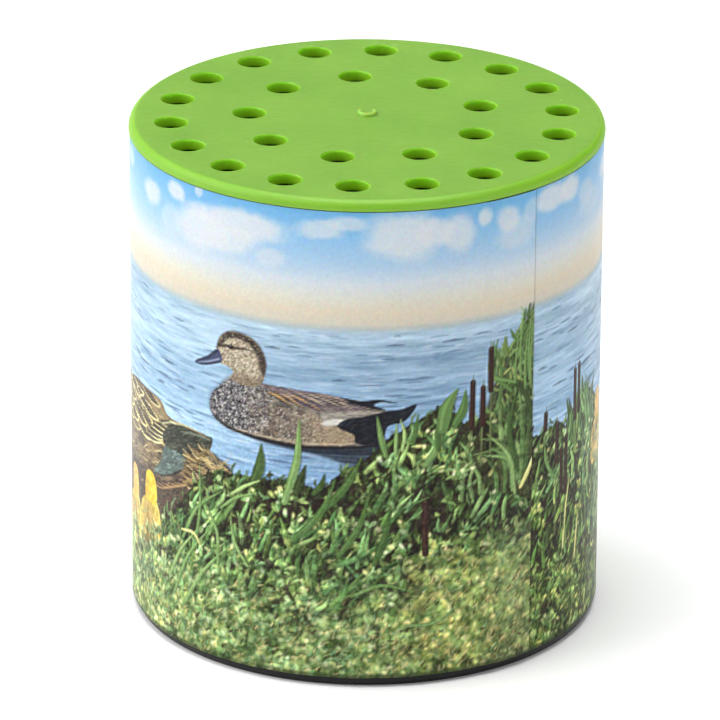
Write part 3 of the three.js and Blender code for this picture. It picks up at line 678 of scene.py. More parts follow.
def blade(art, foot, tip, width, colour, bend=0):
    """A tapering grass blade with a dark edge and a paler ridge."""
    (au, az), (bu, bz) = foot, tip
    middle = ((au + bu) / 2 - bend * (bz - az), (az + bz) / 2 + bend * (bu - au))
    line = curve([foot, middle, tip])
    stroke(art, line + (0.12, -0.05), (0.8 * width, 1.15 * width, 0.8 * width, 0.05), colour * 0.5, 0.5,
           0.1)
    stroke(art, line, (0.7 * width, width, 0.7 * width, 0.05), colour, 0.95, 0.03)
    stroke(art, line - (0.15 * width, 0), (0.15 * width, 0.3 * width, 0.04), np.minimum(colour * 1.35, 1),
           0.5, 0.05)


def cattail(art, u, low, high, foot, lean):
    """A brown seed head on a thin stem."""
    brown = rgb(58, 38, 32)
    stroke(art, [(u - lean, foot), (u, low)], (0.28, 0.2), rgb(106, 120, 74), 0.9, 0.05)
    stroke(art, [(u, low), (u + 0.3 * lean, high)], (0.85, 1.1, 1.1, 0.8), brown, 1, 0.05)
    stroke(art, [(u - 0.16, low + 0.3), (u - 0.16 + 0.3 * lean, high - 0.4)], (0.15, 0.2, 0.1), brown * 1.6,
           0.6, 0.06)
    stroke(art, [(u + 0.3 * lean, high), (u + 0.4 * lean, high + 1.1)], (0.16, 0.05), rgb(104, 100, 68),
           0.9, 0.03)


def bank_top(u):
    """The height of the top edge of the grass."""
    return np.interp(u, [at for at, _ in BANK], [z for _, z in BANK])


def lowness(u, z):
    """How far a place lies in the pale, dense foot of the bank, which is thinner right of the seam."""
    raised = 4.5 * smooth(1, 8, u)
    return smooth(17, 8, z - raised) * (1 - 0.65 * smooth(-134, -150, u))


def leaf(art, root, turn, size, width, level, warm, strength=0.9):
    """One small leaf: darker at its root and pale at its tip, over a thin shadow."""
    u, z = root
    tip = (u + size * math.cos(turn), z + size * math.sin(turn))
    middle = (u + 0.5 * size * math.cos(turn + 0.25), z + 0.5 * size * math.sin(turn + 0.25))
    colour = leaf_colour(level, warm)
    line = np.array([root, middle, tip])
    stroke(art, line + (0.10, -0.10), (0.5 * width, 1.1 * width, 0.5 * width), colour * 0.45,
           0.55 * strength, 0.08)
    stroke(art, line, (0.5 * width, width, 0.5 * width), colour, strength, 0.05)
    return tip


def paint_leaves(art, rng):
    """The bank's dark ground and its thousands of small leaves, open above and dense and pale below."""
    shape = art.rgb.shape[:2]
    top = bank_top(art.u)
    ragged = 1.3 * (grain(rng, shape, (10, 9), 3, 0.7) - 0.5)
    light = smooth(0.32, 0.68, grain(rng, shape, (34, 30), 3, 0.6))
    fine = smooth(0.25, 0.75, grain(rng, shape, (9, 7), 3, 0.75))
    low_zone = lowness(art.u, art.z)
    tan = low_zone * smooth(0, 9, art.u)
    ground = 0.16 * light + 0.32 * fine + 0.26 * low_zone - 0.08
    art.wash(leaf_colour(ground, 0.5 * tan - 0.1), smooth(-0.15, 0.15, top + ragged - art.z))
    for _ in range(int(CLUMPS * WRAP)):
        u = rng.uniform(PICTURE_LEFT, SEAM_U)
        z = rng.uniform(1.5, 17)
        fill(art, oval(u, z, rng.uniform(0.5, 1.3), rng.uniform(0.4, 0.9), rng.uniform(0, 1.2), 10),
             leaf_colour(rng.uniform(0.48, 0.86), rng.uniform(-0.8, 0.4) + 0.5 * smooth(1, 7, u)),
             rng.uniform(0.3, 0.8) * lowness(u, z), 0.3)

    def brightness(u, z):
        row = int(np.clip((z - CANVAS_LOW) * art.fine, 0, art.rgb.shape[0] - 1))
        col = int(np.clip((u - PICTURE_LEFT) * art.fine, 0, art.rgb.shape[1] - 1))
        return light[row, col]

    for _ in range(int(LEAVES * WRAP)):
        u = rng.uniform(PICTURE_LEFT - 0.5, SEAM_U + 0.5)
        z = 1 + (bank_top(u) - 0.6) * rng.random()
        low = lowness(u, z)
        if rng.random() > 0.50 + 0.3 * low:
            continue
        level = 0.34 + 0.28 * brightness(u, z) + 0.16 * low + rng.normal(0, 0.11)
        leaf(art, (u, z), rng.normal(1.2, 0.5 + 0.8 * low), rng.uniform(0.6, 1.6 - 0.5 * low),
             rng.uniform(0.26, 0.5), level, rng.uniform(-0.8, 0.5), rng.uniform(0.6, 0.95))
    for _ in range(int(LONG_BLADES * WRAP)):
        u = rng.uniform(PICTURE_LEFT, SEAM_U)
        z = bank_top(u) * rng.uniform(0.42, 0.98)
        if z < 10:
            continue
        tall = rng.uniform(2.2, 5.6) if z < bank_top(u) - 3 else rng.uniform(1.2, 2.6)
        lean = rng.normal(0.35, 0.5)
        blade(art, (u - 0.5 * lean * tall, z - 0.6 * tall), (u + 0.5 * lean * tall, z + 0.4 * tall),
              rng.uniform(0.4, 0.85), leaf_colour(rng.uniform(0.38, 0.70), rng.uniform(-0.9, 0.1)),
              rng.normal(0, 0.08))
    gaps = smooth(0.42, 0.28, grain(rng, shape, (26, 30), 3, 0.6))
    gaps = gaps * (0.4 + 0.6 * smooth(5, 12, art.z)) * smooth(0, 2, top - art.z)
    art.wash(rgb(38, 30, 26), gaps * (0.34 + 0.38 * smooth(-18, -12, art.u)))
    for _ in range(900):
        u, z = rng.uniform(2, 22.8), rng.uniform(3, 22)
        if rng.random() < smooth(1, 9, u) * smooth(22, 15, z):
            fill(art, oval(u, z, rng.uniform(0.35, 0.9), rng.uniform(0.22, 0.5), rng.uniform(0, 3), 8),
                 leaf_colour(rng.uniform(0.40, 0.82), rng.uniform(-0.3, 0.9)), rng.uniform(0.4, 0.85), 0.14)


CHICKS = [  # place and size of each chick
    (-34.3, 15, 2.4), (-40.8, 13.3, 2.45), (-49.5, 14.6, 2.2), (-57, 15.2, 2.1), (-146.8, 24.2, 2.3),
]


def paint_chicks(art, rng):
    """The chicks, with grass in front of their feet."""
    for u, z, size in CHICKS:
        fill(art, oval(u, z - 1.2 * size, 1.9 * size, 0.9 * size), leaf_colour(0.12), 0.7, 0.8)
        duckling(art, rng, u, z, size, rgb(246, 210, 70) if -36 < u < -30 else rgb(238, 200, 112))
        for _ in range(26):
            foot = (u + rng.normal(0, 1.2) * size, z - rng.uniform(1.6, 2.6) * size)
            blade(art, foot, (foot[0] + rng.normal(0.4, 0.8), foot[1] + rng.uniform(0.7, 1.3) * size),
                  rng.uniform(0.35, 0.6), leaf_colour(rng.uniform(0.4, 0.75), -0.4), rng.normal(0, 0.08))


def paint_reeds(art, rng):
    """The stands of reeds, with arching leaves and feathery tops beside the seam."""
    for left, right, foot, lowest, highest, count in REEDS:
        for k in range(count):
            u = rng.uniform(left, right)
            share = 1 - abs(2 * (u - left) / (right - left) - 1)
            tip = rng.uniform(lowest, lowest + (highest - lowest) * (0.35 + 0.65 * share))
            lean = rng.normal(0.2, 1)
            base = foot + rng.uniform(-2, 6) * (0.3 + 0.7 * share)
            colour = leaf_colour(rng.uniform(0.24, 0.66), rng.uniform(-0.9, 0.2))
            blade(art, (u - 0.4 * lean, min(base, tip - 4)), (u + lean, tip), rng.uniform(0.3, 0.75),
                  colour, rng.normal(0, 0.06))
    stand = outline([(13.8, 30.5), (15.2, 35), (16.2, 38.4), (17.8, 42), (19.6, 44.4), (21.4, 46.6),
                     (24, 48), (24, 24.5), (19.5, 24), (15, 26.5)])
    fill(art, stand, rgb(48, 42, 30), 0.8, 0.5)
    mottle(art, rng, stand, (16, 6), rgb(42, 34, 26), rgb(98, 118, 66), 0.6)
    for k in range(170):
        u, z = rng.uniform(16.6, 24), rng.uniform(31, 46.5)
        z = min(z, 27 + 0.9 * u - 0.6)
        leaf(art, (u, z), rng.uniform(0.5, 2.7), rng.uniform(1, 2.8), rng.uniform(0.3, 0.55),
             rng.uniform(0.34, 0.74), rng.uniform(-0.6, 0.3))
    for foot, tip, width, bend, bright in FAN:
        blade(art, foot, tip, width, leaf_colour(bright, 0.1) * rgb(232, 236, 255), bend)
    for u, tip in ((21, 49.2), (22.4, 48.8), (20.2, 46.4), (21.8, 46.8), (22.7, 47.6)):
        feathery = leaf_colour(0.56, -0.2)
        blade(art, (u - 0.3, tip - 10), (u, tip - 1), 0.4, feathery, 0.03)
        for k in range(9):
            side = 0.5 if k % 2 else -0.5
            root = (u, tip - 0.9 - 0.38 * k)
            stroke(art, [root, (root[0] + side, root[1] + 0.55)], (0.22, 0.3, 0.08),
                   feathery * rng.uniform(0.9, 1.25), 0.8, 0.08)


def flecks(art, rng):
    """Crisp slanting flecks of straw, pale green and dark over the foot of the bank."""
    straw, mint, dark = rgb(220, 198, 138), rgb(132, 176, 130), rgb(56, 46, 34)
    for _ in range(int(FLECKS * WRAP)):
        u, z = rng.uniform(PICTURE_LEFT, SEAM_U), rng.uniform(1.8, 21)
        if rng.random() > 0.15 + 0.85 * lowness(u, z):
            continue
        dry = 0.32 + 0.22 * smooth(-2, 8, u) + 0.2 * smooth(-148, -156, u)
        pick = rng.random()
        colour = straw if pick < dry else dark if pick < dry + 0.28 else mint
        turn = rng.normal(0.85, 0.45)
        du, dz = rng.uniform(0.15, 0.42) * np.array((math.cos(turn), math.sin(turn)))
        wide = rng.uniform(0.16, 0.30)
        stroke(art, [(u - du, z - dz), (u + du, z + dz)], (wide, 0.6 * wide),
               colour * rng.uniform(0.85, 1.1), rng.uniform(0.25, 0.75), 0.05)


def paint_tips(art, rng):
    """Sprigs with pale round tips, flecks, and single blades and cattails, then painted shade along the
    label's lower edge.
    """
    for _ in range(int(SPRIGS * WRAP)):
        u = rng.uniform(PICTURE_LEFT, SEAM_U)
        z = 1.6 + (0.96 * bank_top(u) - 1.6) * rng.random() ** 1.35
        low = lowness(u, z)
        in_reeds = u > 16.5 and z > 22
        if rng.random() > 0.70 + 0.3 * low or in_reeds:
            continue
        warm = rng.uniform(-0.8, 0.3) + 0.6 * smooth(2, 8, u) * low
        facing = rng.uniform(0.4, 2.2)
        for _ in range(rng.integers(2, 6)):
            turn = facing + rng.normal(0, 0.7)
            root = (u + rng.normal(0, 0.22), z + rng.normal(0, 0.22))
            tip = leaf(art, root, turn, rng.uniform(0.5, 1.1), rng.uniform(0.3, 0.5),
                       rng.uniform(0.46, 0.70) + 0.06 * low, warm, 0.85)
            if rng.random() < 0.40 + 0.2 * low:
                fill(art, oval(*tip, rng.uniform(0.26, 0.52), rng.uniform(0.20, 0.36), turn, 8),
                     leaf_colour(rng.uniform(0.76, 1), warm), rng.uniform(0.5, 0.9), 0.12)
    shape = art.rgb.shape[:2]
    art.wash(blurred(art.rgb, 3), 0.4 * lowness(art.u, art.z))
    art.wash(rgb(134, 150, 114), 0.3 * smooth(14, 19, art.u) * smooth(24, 17, art.z))
    clumps = grain(rng, shape, (15, 18), 3, 0.6) - 0.5
    lift = smooth(18, 23, art.z) * (0.10 - 0.16 * smooth(11, 15, art.u))
    art.rgb *= 1 + ((0.95 * clumps + lift) * smooth(0, 1, bank_top(art.u) - art.z))[..., None]
    art.rgb[..., 2] *= 1 - 0.14 * smooth(-146, -152, art.u) * smooth(24, 18, art.z)
    flecks(art, rng)
    for foot, tip, width, bend, bright in BLADES:
        blade(art, foot, tip, width, leaf_colour(bright, -0.3 if bright < 0.8 else 0.2), bend)
    for place in CATTAILS:
        cattail(art, *place)
    # Painted shade: a dark band along the label's lower edge.
    line = smooth(0.8, 0.3, art.z - CANVAS_LOW)
    art.wash(rgb(52, 62, 38), np.broadcast_to(0.55 * line, art.rgb.shape[:2]))


def blurred(picture, reach):
    """A picture averaged over a square of 2 * reach + 1 dots, clamped at its edges."""
    for axis in (0, 1):
        size = picture.shape[axis]
        steps = [np.clip(np.arange(size) + k, 0, size - 1) for k in range(-reach, reach + 1)]
        picture = sum(np.take(picture, step, axis) for step in steps) / len(steps)
    return picture


def finish_print_and_seam_shadow(art, rng):
    """The crisp edges and soft speckle of the printing, and a painted shadow beside the overlapping end."""
    tall, wide = art.rgb.shape[:2]
    art.rgb += CRISPNESS * (art.rgb - blurred(art.rgb, 3))
    for i in range(3):
        art.rgb[..., i] += 0.07 * (grain(rng, (tall, wide), (3, 3), 2, 0.8) - 0.5)
    busy = 0.03 + 0.2 * smooth(HORIZON - 10, 26, art.z)
    art.rgb += (busy * (grain(rng, (tall, wide), (3, 3), 2, 0.8) - 0.5))[..., None]
    # Painted shadow: a dark strip at the label's start, where the overlapping end shades the paper beneath.
    seam = smooth(0.34, 0.16, art.u - PICTURE_LEFT)
    art.wash(rgb(70, 60, 48), np.broadcast_to(0.7 * seam, (tall, wide)))
    np.clip(art.rgb, 0, 1, out=art.rgb)


PAINTING = (paint_sky, paint_water, paint_swimmer, paint_drake, paint_hen, paint_leaves, paint_chicks,
            paint_reeds, paint_tips, finish_print_and_seam_shadow)


# ---- shapes ----
def rounded(corners, steps=4):
    """A closed outline whose (r, z, size) corners are rounded by size. Size 0 leaves a corner sharp."""
    out = []
    for i, (r, z, size) in enumerate(corners):
        here = Vector((r, z))
        if size == 0:
            out.append((r, z))
            continue
        start = here + size * (Vector(corners[i - 1][:2]) - here).normalized()
        end = here + size * (Vector(corners[(i + 1) % len(corners)][:2]) - here).normalized()
        for k in range(steps + 1):
            t = k / steps
            point = start * (1 - t) ** 2 + here * 2 * t * (1 - t) + end * t**2
            out.append((point.x, point.y))
    return out


def turned(outline, sides=TURNS):
    """Points and faces of a closed outline turned about Z. A point on the axis becomes one pole."""
    verts, rings, faces = [], [], []
    for r, z in outline:
        count = 1 if r < 1e-6 else sides
        rings.append(range(len(verts), len(verts) + count))
        angles = [2 * math.pi * i / sides for i in range(count)]
        verts += [(r * math.cos(a), r * math.sin(a), z) for a in angles]
    for low, high in zip(rings, rings[1:] + rings[:1]):
        if len(low) == len(high) == 1:
            continue
        for i in range(sides):
            j = (i + 1) % sides
            corners = (low[i % len(low)], low[j % len(low)], high[j % len(high)], high[i % len(high)])
            faces.append(list(dict.fromkeys(corners)))
    return verts, faces


def circle(radius, sides, centre=(0, 0)):
    """Points round a circle."""
    angles = [2 * math.pi * i / sides for i in range(sides)]
    return [(centre[0] + radius * math.cos(a), centre[1] + radius * math.sin(a)) for a in angles]


def crosses(point, loop):
    """Whether a point lies inside a loop of points."""
    x, y = point
    within = False
    for (ax, ay), (bx, by) in zip(loop, loop[1:] + loop[:1]):
        if (ay > y) != (by > y) and x < ax + (y - ay) * (bx - ax) / (by - ay):
            within = not within
    return within


def tiled(verts, loops):
    """Triangles that fill the first loop of vertex numbers and leave out the other loops."""
    numbers = [n for loop in loops for n in loop]
    place = {n: k for k, n in enumerate(numbers)}
    flat = [Vector(verts[n][:2]) for n in numbers]
    edges = [(place[a], place[b]) for loop in loops for a, b in zip(loop, loop[1:] + loop[:1])]
    _, _, faces, came_from, _, _ = delaunay_2d_cdt(flat, edges, [], 0, 1e-7)
    outlines = [[verts[n][:2] for n in loop] for loop in loops]
    kept = []
    for face in faces:
        corners = [numbers[came_from[k][0]] for k in face]
        middle = [sum(verts[n][axis] for n in corners) / 3 for axis in (0, 1)]
        if crosses(middle, outlines[0]) and not any(crosses(middle, hole) for hole in outlines[1:]):
            kept.append(corners)
    return kept


def walled(stacks):
    """A solid from stacks of level loops: the first stack is its outside, and the rest are holes.

    Each stack runs from the top face to the under face, with the same number of points in each loop.
    """
    verts, faces, tops, feet = [], [], [], []
    for stack in stacks:
        rings = []
        for loop, z in stack:
            rings.append(list(range(len(verts), len(verts) + len(loop))))
            verts += [(x, y, z) for x, y in loop]
        for high, low in zip(rings, rings[1:]):
            for i in range(len(high)):
                j = (i + 1) % len(high)
                faces.append([high[i], low[i], low[j], high[j]])
        tops.append(rings[0])
        feet.append(rings[-1])
    return verts, faces + tiled(verts, tops) + tiled(verts, feet)


def slab(outline, low, high, holes=()):
    """An upright solid of even section."""
    return walled([[(loop, high), (loop, low)] for loop in (outline, *holes)])


def link(name, mesh):
    """An object of the mesh in the scene."""
    thing = bpy.data.objects.new(name, mesh)
    bpy.context.scene.collection.objects.link(thing)
    return thing


def make(name, shape, look, crisp=38):
    """An object from points and faces in millimetres, shaded smooth except across crisp edges."""
    mesh = bpy.data.meshes.new(name)
    mesh.from_pydata([[c * MM for c in v] for v in shape[0]], [], shape[1])
    tidy = bmesh.new()
    tidy.from_mesh(mesh)
    bmesh.ops.recalc_face_normals(tidy, faces=tidy.faces)
    tidy.to_mesh(mesh)
    tidy.free()
    mesh.materials.append(look)
    mesh.shade_smooth()
    mesh.set_sharp_from_angle(angle=math.radians(crisp))
    return link(name, mesh)


def finished(thing):
    """The object with its modifiers applied."""
    evaluated = thing.evaluated_get(bpy.context.evaluated_depsgraph_get())
    mesh = bpy.data.meshes.new_from_object(evaluated)
    thing.modifiers.clear()
    thing.data = mesh
    return thing


def cut(thing, *shapes):
    """Takes other shapes away from an object."""
    for shape in shapes:
        tool = make("cutter", shape, thing.data.materials[0])
        step = thing.modifiers.new("cut", "BOOLEAN")
        step.operation = "DIFFERENCE"
        step.solver = "EXACT"
        step.object = tool
        finished(thing)
        bpy.data.objects.remove(tool)
    thing.data.set_sharp_from_angle(angle=math.radians(30))
    return thing


def soften(thing, width, steps=2):
    """Rounds an object's sharp edges."""
    step = thing.modifiers.new("round", "BEVEL")
    step.width = width * MM
    step.segments = steps
    step.limit_method = "ANGLE"
    step.angle_limit = math.radians(35)
    step.use_clamp_overlap = True
    finished(thing)
    thing.data.shade_smooth()
    thing.data.set_sharp_from_angle(angle=math.radians(50))
    return thing


def settle(thing, node, body):
    """Stands an object in for a CAD node, on that node's body."""
    even = thing.modifiers.new("even_normals", "WEIGHTED_NORMAL")
    even.keep_sharp = True
    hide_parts(node)
    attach(thing, body)
    return thing


# ---- materials ----
def linear(*values):
    """A colour written as 0 to 255 display values, as the linear colour that shaders use."""
    shares = [v / 255 for v in values]
    return [s / 12.92 if s <= 0.04045 else ((s + 0.055) / 1.055) ** 2.4 for s in shares] + [1.0]


class Look:
    """A procedural material. Patterns are placed by object coordinates, with sizes in millimetres."""

    def __init__(self, name, **values):
        self.material = bpy.data.materials.new(name)
        self.material.use_nodes = True
        self.tree = self.material.node_tree
        self.shader = self.tree.nodes["Principled BSDF"]
        self.place = self.node("ShaderNodeTexCoord").outputs["Object"]
        self.height = None
        for socket, value in values.items():
            self.shader.inputs[socket.replace("_", " ").title().replace("Ior", "IOR")].default_value = value

    def node(self, kind, inputs=(), **settings):
        """A node with its inputs linked or set, and its own settings."""
        made = self.tree.nodes.new(kind)
        for key, value in settings.items():
            setattr(made, key, value)
        for key, value in dict(inputs).items():
            if isinstance(value, bpy.types.NodeSocket):
                self.tree.links.new(value, made.inputs[key])
            else:
                made.inputs[key].default_value = value
        return made

    def noise(self, size, detail, stretch=None, warp=0.0):
        """Cloudy noise whose lumps are about size across, and longer along stretched axes."""
        place = self.place
        if stretch:
            shrunk = {"Vector": place, "Scale": [1 / s for s in stretch]}
            place = self.node("ShaderNodeMapping", shrunk).outputs[0]
        return self.node("ShaderNodeTexNoise", {
            "Vector": place, "Scale": 1 / (size * MM), "Detail": detail, "Distortion": warp,
        }).outputs["Fac"]

    def cells(self, size):
        """The distance from the middle of the nearest of many cells about size across."""
        return self.node("ShaderNodeTexVoronoi",
                         {"Vector": self.place, "Scale": 1 / (size * MM)}).outputs["Distance"]

    def rings(self, size, warp):
        """Fine grooves turned about Z, nearly two sizes apart."""
        return self.node("ShaderNodeTexWave", {
            "Vector": self.place, "Scale": 1 / (6 * size * MM), "Distortion": warp, "Detail": 2.0,
        }, wave_type="RINGS", rings_direction="Z").outputs["Fac"]

    def span(self, factor, low, high, start=0.3, end=0.7):
        """A factor's start to end stretched to run from low to high."""
        return self.node("ShaderNodeMapRange", {
            "Value": factor, "From Min": start, "From Max": end, "To Min": low, "To Max": high,
        }).outputs[0]

    def mix(self, factor, one, two, blend="MIX"):
        """One colour turned into another by a factor."""
        colours = {"Fac": factor, "Color1": one, "Color2": two}
        return self.node("ShaderNodeMixRGB", colours, blend_type=blend).outputs[0]

    def paint(self, colour):
        self.tree.links.new(colour, self.shader.inputs["Base Color"])
        return self

    def rough(self, factor):
        self.tree.links.new(factor, self.shader.inputs["Roughness"])
        return self

    def bump(self, factor, depth, strength=1.0):
        """Adds relief of a depth in millimetres."""
        inputs = {"Height": factor, "Distance": depth * MM, "Strength": strength}
        if self.height:
            inputs["Normal"] = self.height
        self.height = self.node("ShaderNodeBump", inputs).outputs[0]
        self.tree.links.new(self.height, self.shader.inputs["Normal"])
        return self


WALL_GLOW = 0.25  # strength of the painted glow: emission on the hole walls that stands in for light the translucent plastic carries to them


def moulded(name, dark, light, roughness, grain_depth=0.006, specks=None, painted_glow_colour=None, **values):
    """Moulded plastic: faint clouding, a fine spark-eroded grain, soft scuffs in the gloss, and pale specks.

    The glow colour, when given, is the vivid colour of the points whose wall attribute is 1, and they also
    shine with it: a painted glow that stands in for light carried through the translucent plastic.
    """
    look = Look(name, **values)
    cloud = look.noise(9.0, 3.0)
    scuff = look.noise(0.5, 4.0, stretch=(2.5, 1.0, 1.0), warp=0.6)
    fine = look.noise(0.16, 2.0)
    colour = look.mix(look.span(cloud, 0.0, 1.0), dark, light)
    if specks:
        colour = look.mix(look.span(look.cells(4.2), 0.7, 0.0, 0.015, 0.035), colour, specks)
    # Painted glow: the marked points take a lighter, vivid colour and shine with it, in place of light
    # carried through the plastic.
    if painted_glow_colour:
        wall = look.node("ShaderNodeAttribute", attribute_name="wall").outputs["Fac"]
        colour = look.mix(wall, colour, painted_glow_colour)
        look.shader.inputs["Emission Color"].default_value = painted_glow_colour
        glow = look.node("ShaderNodeMath", {0: wall, 1: WALL_GLOW}, operation="MULTIPLY").outputs[0]
        look.tree.links.new(glow, look.shader.inputs["Emission Strength"])
    look.paint(colour)
    low, high = roughness
    look.rough(look.span(scuff, low, high, 0.35, 0.75))
    look.bump(fine, grain_depth)
    look.bump(cloud, 0.05, 0.5)
    return look.material


def turned_steel():
    """Dull steel with fine lathe grooves."""
    look = Look("turned_steel", metallic=1.0)
    worn = look.noise(5.0, 4.0)
    grooves = look.rings(0.22, 0.4)
    look.paint(look.mix(look.span(worn, 0.0, 1.0, 0.35, 0.75), linear(214, 215, 212),
                        linear(172, 170, 162)))
    look.rough(look.span(look.noise(1.2, 4.0), 0.38, 0.58))
    look.bump(grooves, 0.012)
    look.bump(look.noise(0.3, 2.0), 0.004)
    return look.material


def spring_steel():
    """Thin rolled steel, darker where it is stained."""
    look = Look("spring_steel", metallic=1.0)
    look.paint(look.mix(look.noise(1.5, 4.0), linear(120, 124, 132), linear(84, 82, 84)))
    look.rough(look.span(look.noise(0.6, 3.0), 0.25, 0.45))
    look.bump(look.noise(0.25, 2.0), 0.006)
    return look.material


def rolled_brass():
    """Brass sheet with faint lines along its length."""
    look = Look("rolled_brass", metallic=1.0)
    lines = look.noise(0.08, 3.0, stretch=(1.0, 1.0, 40.0))
    look.paint(look.mix(look.span(look.noise(1.8, 4.0), 0.0, 1.0), linear(214, 178, 96),
                        linear(176, 138, 70)))
    look.rough(look.span(lines, 0.18, 0.38))
    look.bump(lines, 0.002)
    return look.material


def felt(name, dark, light):
    """Pressed wool with matted fibres and tufts."""
    look = Look(name, sheen_weight=0.4, sheen_roughness=0.5)
    fibres = look.noise(0.35, 5.0, warp=1.6)
    tufts = look.noise(1.6, 3.0)
    look.paint(look.mix(look.span(fibres, 0.0, 1.0, 0.3, 0.7), dark, light))
    look.rough(look.span(tufts, 0.86, 1.0))
    look.bump(fibres, 0.16)
    look.bump(tufts, 0.12)
    return look.material


def foam():
    """Dark foam with open pores."""
    look = Look("foam", sheen_weight=0.2)
    pores = look.cells(0.55)
    # Painted shade: each pore is darker at its middle, where it is hollow.
    look.paint(look.mix(look.span(pores, 0.0, 1.0, 0.1, 0.5), linear(26, 26, 28), linear(66, 66, 68)))
    look.rough(look.span(pores, 0.85, 1.0))
    look.bump(pores, 0.2)
    return look.material


def rubber_cloth():
    """Thin rubbered cloth, dusty on its folds."""
    look = Look("rubber_cloth", sheen_weight=0.15)
    weave = look.noise(0.22, 2.0, stretch=(1.0, 1.0, 0.5))
    dust = look.noise(3.0, 4.0)
    look.paint(look.mix(look.span(dust, 0.0, 1.0, 0.35, 0.75), linear(116, 40, 32), linear(152, 82, 66)))
    look.rough(look.span(weave, 0.55, 0.8))
    look.bump(weave, 0.03)
    look.bump(dust, 0.08, 0.4)
    return look.material


def glossy_paper():
    """Laminated printed paper. The picture is in the mesh's colours; nodes add the paper's own detail."""
    look = Look("glossy_paper", ior=1.22)
    picture = look.node("ShaderNodeAttribute", attribute_name="picture").outputs["Color"]
    speck = look.span(look.noise(0.12, 2.0), 0.93, 1.05)
    tone = look.node("ShaderNodeCombineColor", {"Red": speck, "Green": speck, "Blue": speck}).outputs[0]
    look.paint(look.mix(1.0, picture, tone, "MULTIPLY"))
    look.rough(look.span(look.noise(2.5, 4.0), 0.30, 0.42))
    look.bump(look.noise(0.4, 3.0), 0.006)
    look.bump(look.noise(6.0, 2.0), 0.05, 0.5)
    return look.material


# ---- the case and its label ----
SAMPLES = 5.5  # label mesh points to a millimetre
PAPER_T = 0.12
LAP = 7.0  # how far the label's end lies over its beginning


def paint_label():
    """The picture as linear colours, one to each point of the label's mesh, from the bottom row up."""
    rng = np.random.default_rng(7)
    art = Canvas(PICTURE_LEFT, SEAM_U, CANVAS_LOW, CANVAS_HIGH, 2 * SAMPLES)
    for step in PAINTING:
        step(art, rng)
    tall, wide = (n // 2 for n in art.rgb.shape[:2])
    small = art.rgb[: 2 * tall, : 2 * wide].reshape(tall, 2, wide, 2, 3).mean((1, 3))
    return np.where(small <= 0.04045, small / 12.92, ((small + 0.055) / 1.055) ** 2.4)


LABEL_FOOT = 0.1  # how far the label's cut lower edge hangs below the CAD label
PAPER_BACK = (0.75, 0.74, 0.70)


def label_print(look):
    """The wrapped label: a dense outer skin that carries the picture, and a plain back and edges."""
    colours = paint_label()
    tall, wide = colours.shape[:2]
    u = np.linspace(PICTURE_LEFT, SEAM_U, wide)
    share = np.linspace(0, 1, tall)[:, None]
    foot = LABEL_LOW - LABEL_FOOT + 0.09 * np.sin(u / OUTER_R + 0.4) + 0.02 * np.sin(u * 0.9)
    z = foot + (LABEL_HIGH - foot) * share
    lap = smooth(SEAM_U - LAP - 0.8, SEAM_U - LAP, u)
    front = OUTER_R - PAPER_T * (1 - lap)
    back = front - PAPER_T + 0.01

    def bent(radius, height):
        return np.stack([radius * np.sin(u / OUTER_R), -radius * np.cos(u / OUTER_R), height], -1)

    rows = [bent(front, z[i]) for i in range(tall)] + [bent(back, z[-1]), bent(back, z[0])]
    points = np.concatenate(rows) * MM
    grid = np.arange((tall + 2) * wide).reshape(tall + 2, wide)
    loop = np.vstack([grid, grid[:1]])
    quads = np.stack([loop[:-1, :-1], loop[:-1, 1:], loop[1:, 1:], loop[1:, :-1]], -1).reshape(-1, 4)
    mesh = bpy.data.meshes.new("label_print")
    mesh.vertices.add(len(points))
    mesh.vertices.foreach_set("co", points.ravel())
    ends = [list(map(int, grid[:, 0]))[::-1], list(map(int, grid[:, -1]))]
    sizes = np.concatenate([np.full(len(quads), 4), [len(e) for e in ends]])
    mesh.loops.add(int(sizes.sum()))
    mesh.loops.foreach_set("vertex_index", np.concatenate([quads.ravel(), *ends]).astype(np.int32))
    mesh.polygons.add(len(sizes))
    mesh.polygons.foreach_set("loop_start", np.concatenate([[0], np.cumsum(sizes)[:-1]]).astype(np.int32))
    mesh.update(calc_edges=True)
    mesh.materials.append(look)
    mesh.shade_smooth()
    mesh.set_sharp_from_angle(angle=math.radians(40))
    paper = np.ones(((tall + 2) * wide, 4), np.float32)
    paper[:, :3] = PAPER_BACK
    paper[: tall * wide, :3] = colours.reshape(-1, 3)
    mesh.color_attributes.new("picture", "FLOAT_COLOR", "POINT").data.foreach_set("color", paper.ravel())
    thing = link("label_print", mesh)
    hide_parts("picture_label")
    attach(thing, "case")


# ---- case ----
FOOT_R, FOOT_H = 29.2, 1.0  # the case narrows to its foot over this height
FOOT_IN_R, RECESS = 26.9, 0.8  # inside of the ring that stands on the table, and the underside within it
CASE_R, CASE_IN_R = 29.65, 28.15
FLOOR_Z = 2.4
COLLAR_R, COLLAR_IN_R, COLLAR_TOP = 25.8, 24.6, 4.2  # low wall on the floor, round the bellows


def case_moulding(look):
    """The can, with a ring foot below and a low collar on its floor."""
    top = box_mm("body_can")[1].z
    outline = rounded([
        (0, RECESS, 0), (FOOT_IN_R, RECESS, 0.25), (FOOT_IN_R, 0, 0.25), (FOOT_R, 0, 0.35),
        (CASE_R, FOOT_H, 0.3), (CASE_R, top, 0.25), (CASE_IN_R, top, 0.4), (CASE_IN_R, FLOOR_Z, 0.5),
        (COLLAR_R, FLOOR_Z, 0.2), (COLLAR_R, COLLAR_TOP, 0.3), (COLLAR_IN_R, COLLAR_TOP, 0.3),
        (COLLAR_IN_R, FLOOR_Z, 0.2), (0, FLOOR_Z, 0),
    ])
    settle(make("case_moulding", turned(outline, FINE_TURNS), look), "body_can", "case")


